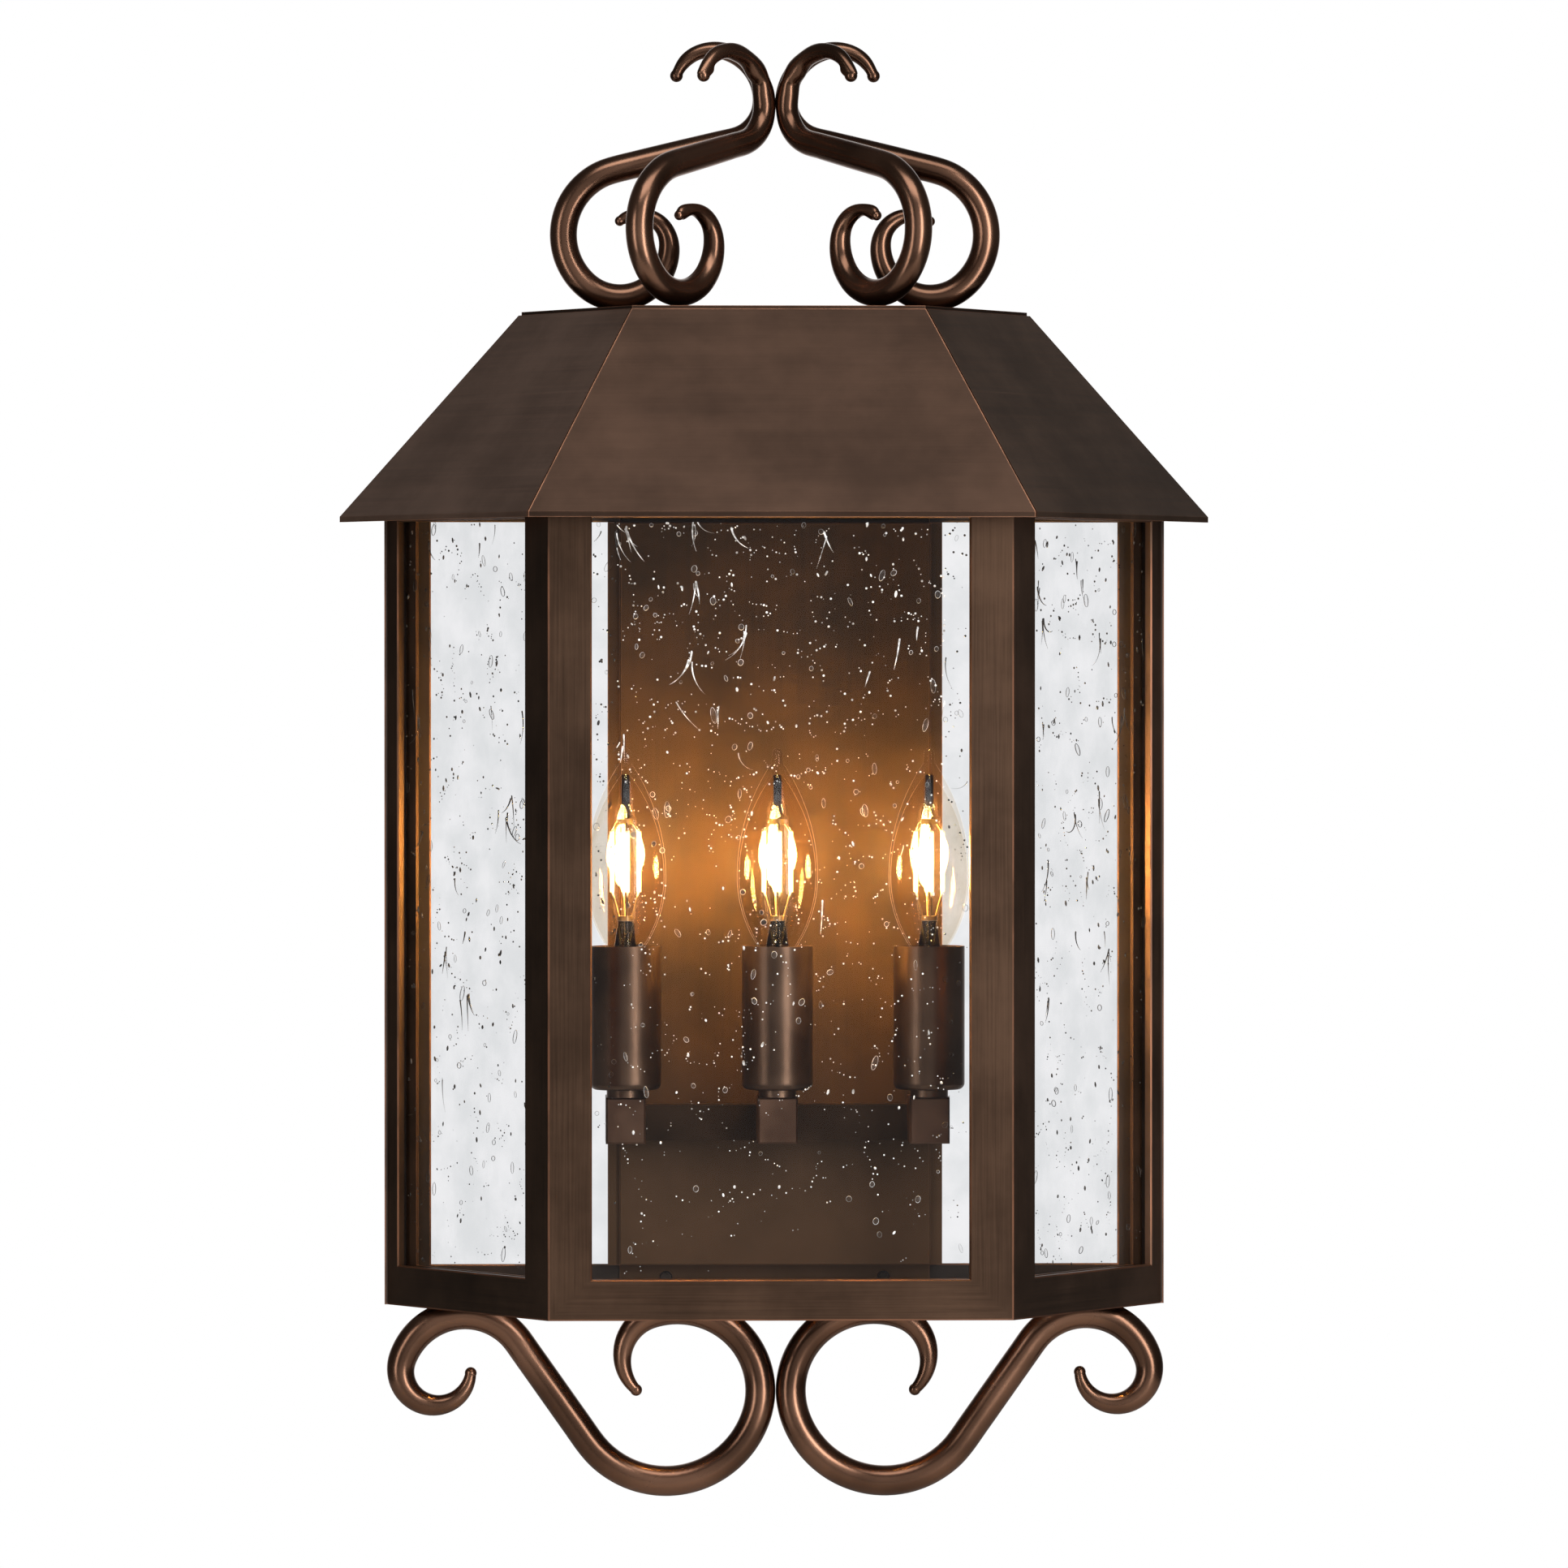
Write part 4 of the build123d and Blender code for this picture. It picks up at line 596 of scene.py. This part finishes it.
def chain_spots(dice, count, width, height, lift):
    """Places for tiny seeds: short bent chains, with some loners; a lift under 1 draws them to the top."""
    spots = []
    while len(spots) < count:
        spot = Vector((dice.uniform(0.0, width), height * dice.uniform(0.0, 1.0) ** lift))
        heading = dice.uniform(0.0, 2.0 * math.pi)
        for _ in range(dice.choice(CHAIN_LENGTHS)):
            if 0.0 < spot.x < width and 0.0 < spot.y < height:
                spots.append(spot.copy())
            heading += dice.gauss(0.0, 0.6)
            spot += dice.uniform(0.0009, 0.0034) * Vector((math.cos(heading), math.sin(heading)))
    return spots


def wisp_drops(dice, start):
    """A bent hair of gas, as a row of overlapping drops that thin out: place, radius and heading of each."""
    heading, bend = dice.gauss(-0.5 * math.pi, 0.25), dice.gauss(0.0, 0.05)
    drops, thick, count = [], dice.uniform(0.0003, 0.0006), dice.randint(8, 22)
    spot = start.copy()
    for step in range(count):
        drops.append((spot.copy(), thick * (1.0 - 0.75 * step / count), heading))
        heading += bend
        spot += 0.0007 * Vector((math.cos(heading), math.sin(heading)))
    return drops


def seed_list(dice, counts, width, height, lift):
    """Every drop of one pane: place, radius, stretch, lean and whether it shows as a ring."""
    drops = []
    for spot in chain_spots(dice, counts["fine"], width, height, lift):
        high = 0.65 + 0.35 * spot.y / height
        drops.append((spot, high * dice.choice(DOT_RADII), 1.0, 0.0, 0))
    for kind, stretches, sway in SHAPES:
        for _ in range(counts[kind]):
            spot = Vector((dice.uniform(0.0, width), height * dice.uniform(0.0, 1.0) ** lift))
            radius = dice.uniform(0.0004, 0.0007) if kind == "bead" else dice.uniform(0.0006, 0.0013)
            drops.append((spot, radius, dice.uniform(*stretches), dice.gauss(0.0, sway), int(kind != "bead")))
    for _ in range(counts["wisp"]):
        start = Vector((dice.uniform(0.0, width), height * dice.uniform(0.1, 1.0) ** (0.6 * lift)))
        for _ in range(dice.choice((1, 1, 2, 3))):
            offset = Vector((dice.gauss(0.0, 0.0008), dice.gauss(0.0, 0.0015)))
            for spot, radius, heading in wisp_drops(dice, start + offset):
                drops.append((spot, radius, 1.6, heading - 0.5 * math.pi, 0))
    return [drop for drop in drops
            if RIM_X < drop[0].x < width - RIM_X and RIM_Y < drop[0].y < height - RIM_Y]


print("seed shapes:", ", ".join(kind for kind, _, _ in SHAPES))

# %% [markdown]
# Thousands of drops are quick to make when one ball is copied: every drop is the same ball, stretched,
# leaned over and set down on the pane. Rings are larger, so their ball is rounder.

# %% Seeds as one mesh
def unit_ball(subdivisions):
    """Corners and faces of a ball of radius 1, to be copied for every drop."""
    ball = bmesh.new()
    bmesh.ops.create_icosphere(ball, subdivisions=subdivisions, radius=1.0)
    corners = [corner.co.copy() for corner in ball.verts]
    faces = [[corner.index for corner in face.verts] for face in ball.faces]
    ball.free()
    return corners, faces


BALLS = (unit_ball(1), unit_ball(3))  # for a dot and for a ring
FLATNESS = 0.7


def scatter_seeds(name, corner, along, outward, width, counts, chance, lift=1.0, over_plate=None):
    """Fills one pane with seeds: corner is the lower corner of its window on the outer face."""
    dice = random.Random(chance)
    along, up, outward = Vector(along), Vector((0.0, 0.0, 1.0)), Vector(outward)
    turn = Matrix((along, up, outward)).transposed().to_4x4()
    drops = seed_list(dice, counts, width, WINDOW_HEIGHT, lift)
    corners, faces, slots = [], [], []
    for spot, radius, stretch, lean, ring in drops:
        middle_spot = Vector(corner) + along * spot.x + up * spot.y
        scale = Matrix.Diagonal((radius, radius * stretch, radius * FLATNESS, 1.0))
        size = Matrix.Rotation(lean, 4, "Z") @ scale
        place = Matrix.Translation(middle_spot) @ turn @ size
        # Seeds beside the plate get the painted-shade finishes, and those over it the painted-light ones.
        dark = over_plate is None or abs(middle_spot.x) > over_plate
        ball_corners, ball_faces = BALLS[ring]
        faces += [[len(corners) + index for index in face] for face in ball_faces]
        slots += [2 * dark + ring] * len(ball_faces)
        corners += [place @ point for point in ball_corners]
    mesh = bpy.data.meshes.new(name)
    mesh.from_pydata(corners, [], faces)
    mesh.polygons.foreach_set("material_index", slots)
    mesh.polygons.foreach_set("use_smooth", [True] * len(faces))
    for material in seed_finishes:
        mesh.materials.append(material)
    piece = bpy.data.objects.new(name, mesh)
    bpy.context.collection.objects.link(piece)
    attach(piece, "lantern")
    print(name, len(drops), "seeds,", len(faces), "faces")


print("balls of", len(BALLS[0][1]), "and", len(BALLS[1][1]), "faces")

# %% [markdown]
# The front pane stands before the plate, so its seeds are painted light there and painted shade beside it.
# The side panes stand before the white wall, and their seeds are all painted shade.

# %% Three seeded panes
WINDOW_FOOT, WINDOW_HEIGHT = -0.1124, 0.327
FRONT_WINDOW, FRONT_GLASS_Y = 0.1624, -0.1076  # width of the front window, outer face of the front pane
SIDE_WINDOW, GLASS_SET_BACK = 0.1025, 0.0034  # width of a side window, pane behind the frame's outer face
PLATE_HALF = 0.0705
cos_turn, sin_turn = math.cos(WALL_TURN), math.sin(WALL_TURN)
front_corner = (-FRONT_WINDOW / 2, FRONT_GLASS_Y, WINDOW_FOOT)
scatter_seeds("front_seeds", front_corner, (1, 0, 0), (0, -1, 0), FRONT_WINDOW,
              {"fine": 1700, "ring": 100, "tear": 30, "bead": 70, "wisp": 22}, 3, 0.72, over_plate=PLATE_HALF)
for side in (-1, 1):
    along = (side * cos_turn, sin_turn, 0.0)
    outward = (side * sin_turn, -cos_turn, 0.0)
    corner = (side * (FRONT_HALF + STILE * cos_turn - GLASS_SET_BACK * sin_turn),
              -SIDE_DEPTH + STILE * sin_turn + GLASS_SET_BACK * cos_turn, WINDOW_FOOT)
    scatter_seeds("left_seeds" if side < 0 else "right_seeds", corner, along, outward, SIDE_WINDOW,
                  {"fine": 700, "ring": 26, "tear": 40, "bead": 110, "wisp": 20}, 10 + side)

# %% [markdown]
# ## Lamps
# The bulbs are clear. Their outline gets a pale rim of painted light, an emission standing for the filaments'
# light gathered in the thin glass.

# %% Bulb glass
bulb_clear = clear_glass("bulb_clear", colour(250, 246, 240), colour(255, 252, 248), 0.02, 0.2, 0.8, painted_rim_glow=3.0)
dress(bulb_clear, *for_lamps("bulb_glass"))

# %% [markdown]
# Inside is a cage of straight filaments that burn almost white. The wires below and above them stay cold,
# so the glow fades in over the foot of the cage and out again over its top.

# %% Filaments
WIRE_FOOT, WIRE_TOP = (0.0500, 0.0540), (0.0775, 0.0805)
hot, tree, shader, place = finish("filament")
height = add(tree, "ShaderNodeSeparateXYZ", {0: place}).outputs[2]
burning = maths(tree, "MULTIPLY", fade(tree, height, *WIRE_FOOT), fade(tree, height, *WIRE_TOP, 1.0, 0.0))
feed(tree, shader.inputs["Base Color"], mixed(tree, burning, colour(150, 128, 96), colour(255, 240, 214)))
feed(tree, shader.inputs["Metallic"], fade(tree, burning, 0.0, 1.0, 1.0, 0.0))
feed(tree, shader.inputs["Roughness"], 0.3)
feed(tree, shader.inputs["Emission Color"], (1.0, 0.72, 0.40, 1.0))
feed(tree, shader.inputs["Emission Strength"], maths(tree, "MULTIPLY", burning, 3.6))
dress(hot, *for_lamps("bulb_filament"))

# %% [markdown]
# A small warm lamp inside each bulb lights the fitting, and goes along when the bulb is lifted out.

# %% Warm lamps
LAMP_SPACING, GLOW_Y, GLOW_Z = 0.0662, -0.050, 0.066
for lamp, spot in zip(lamps, (-LAMP_SPACING, 0.0, LAMP_SPACING)):
    warm = bpy.data.lights.new(f"warm_{lamp}", "POINT")
    warm.energy, warm.color, warm.shadow_soft_size = 1.5, (1.0, 0.61, 0.17), 0.01
    glow_lamp = bpy.data.objects.new(f"warm_{lamp}", warm)
    glow_lamp.location = (spot, GLOW_Y, GLOW_Z)
    glow_lamp.parent = bodies[f"bulb_{lamp}"]
    bpy.context.collection.objects.link(glow_lamp)
print("three warm lamps")
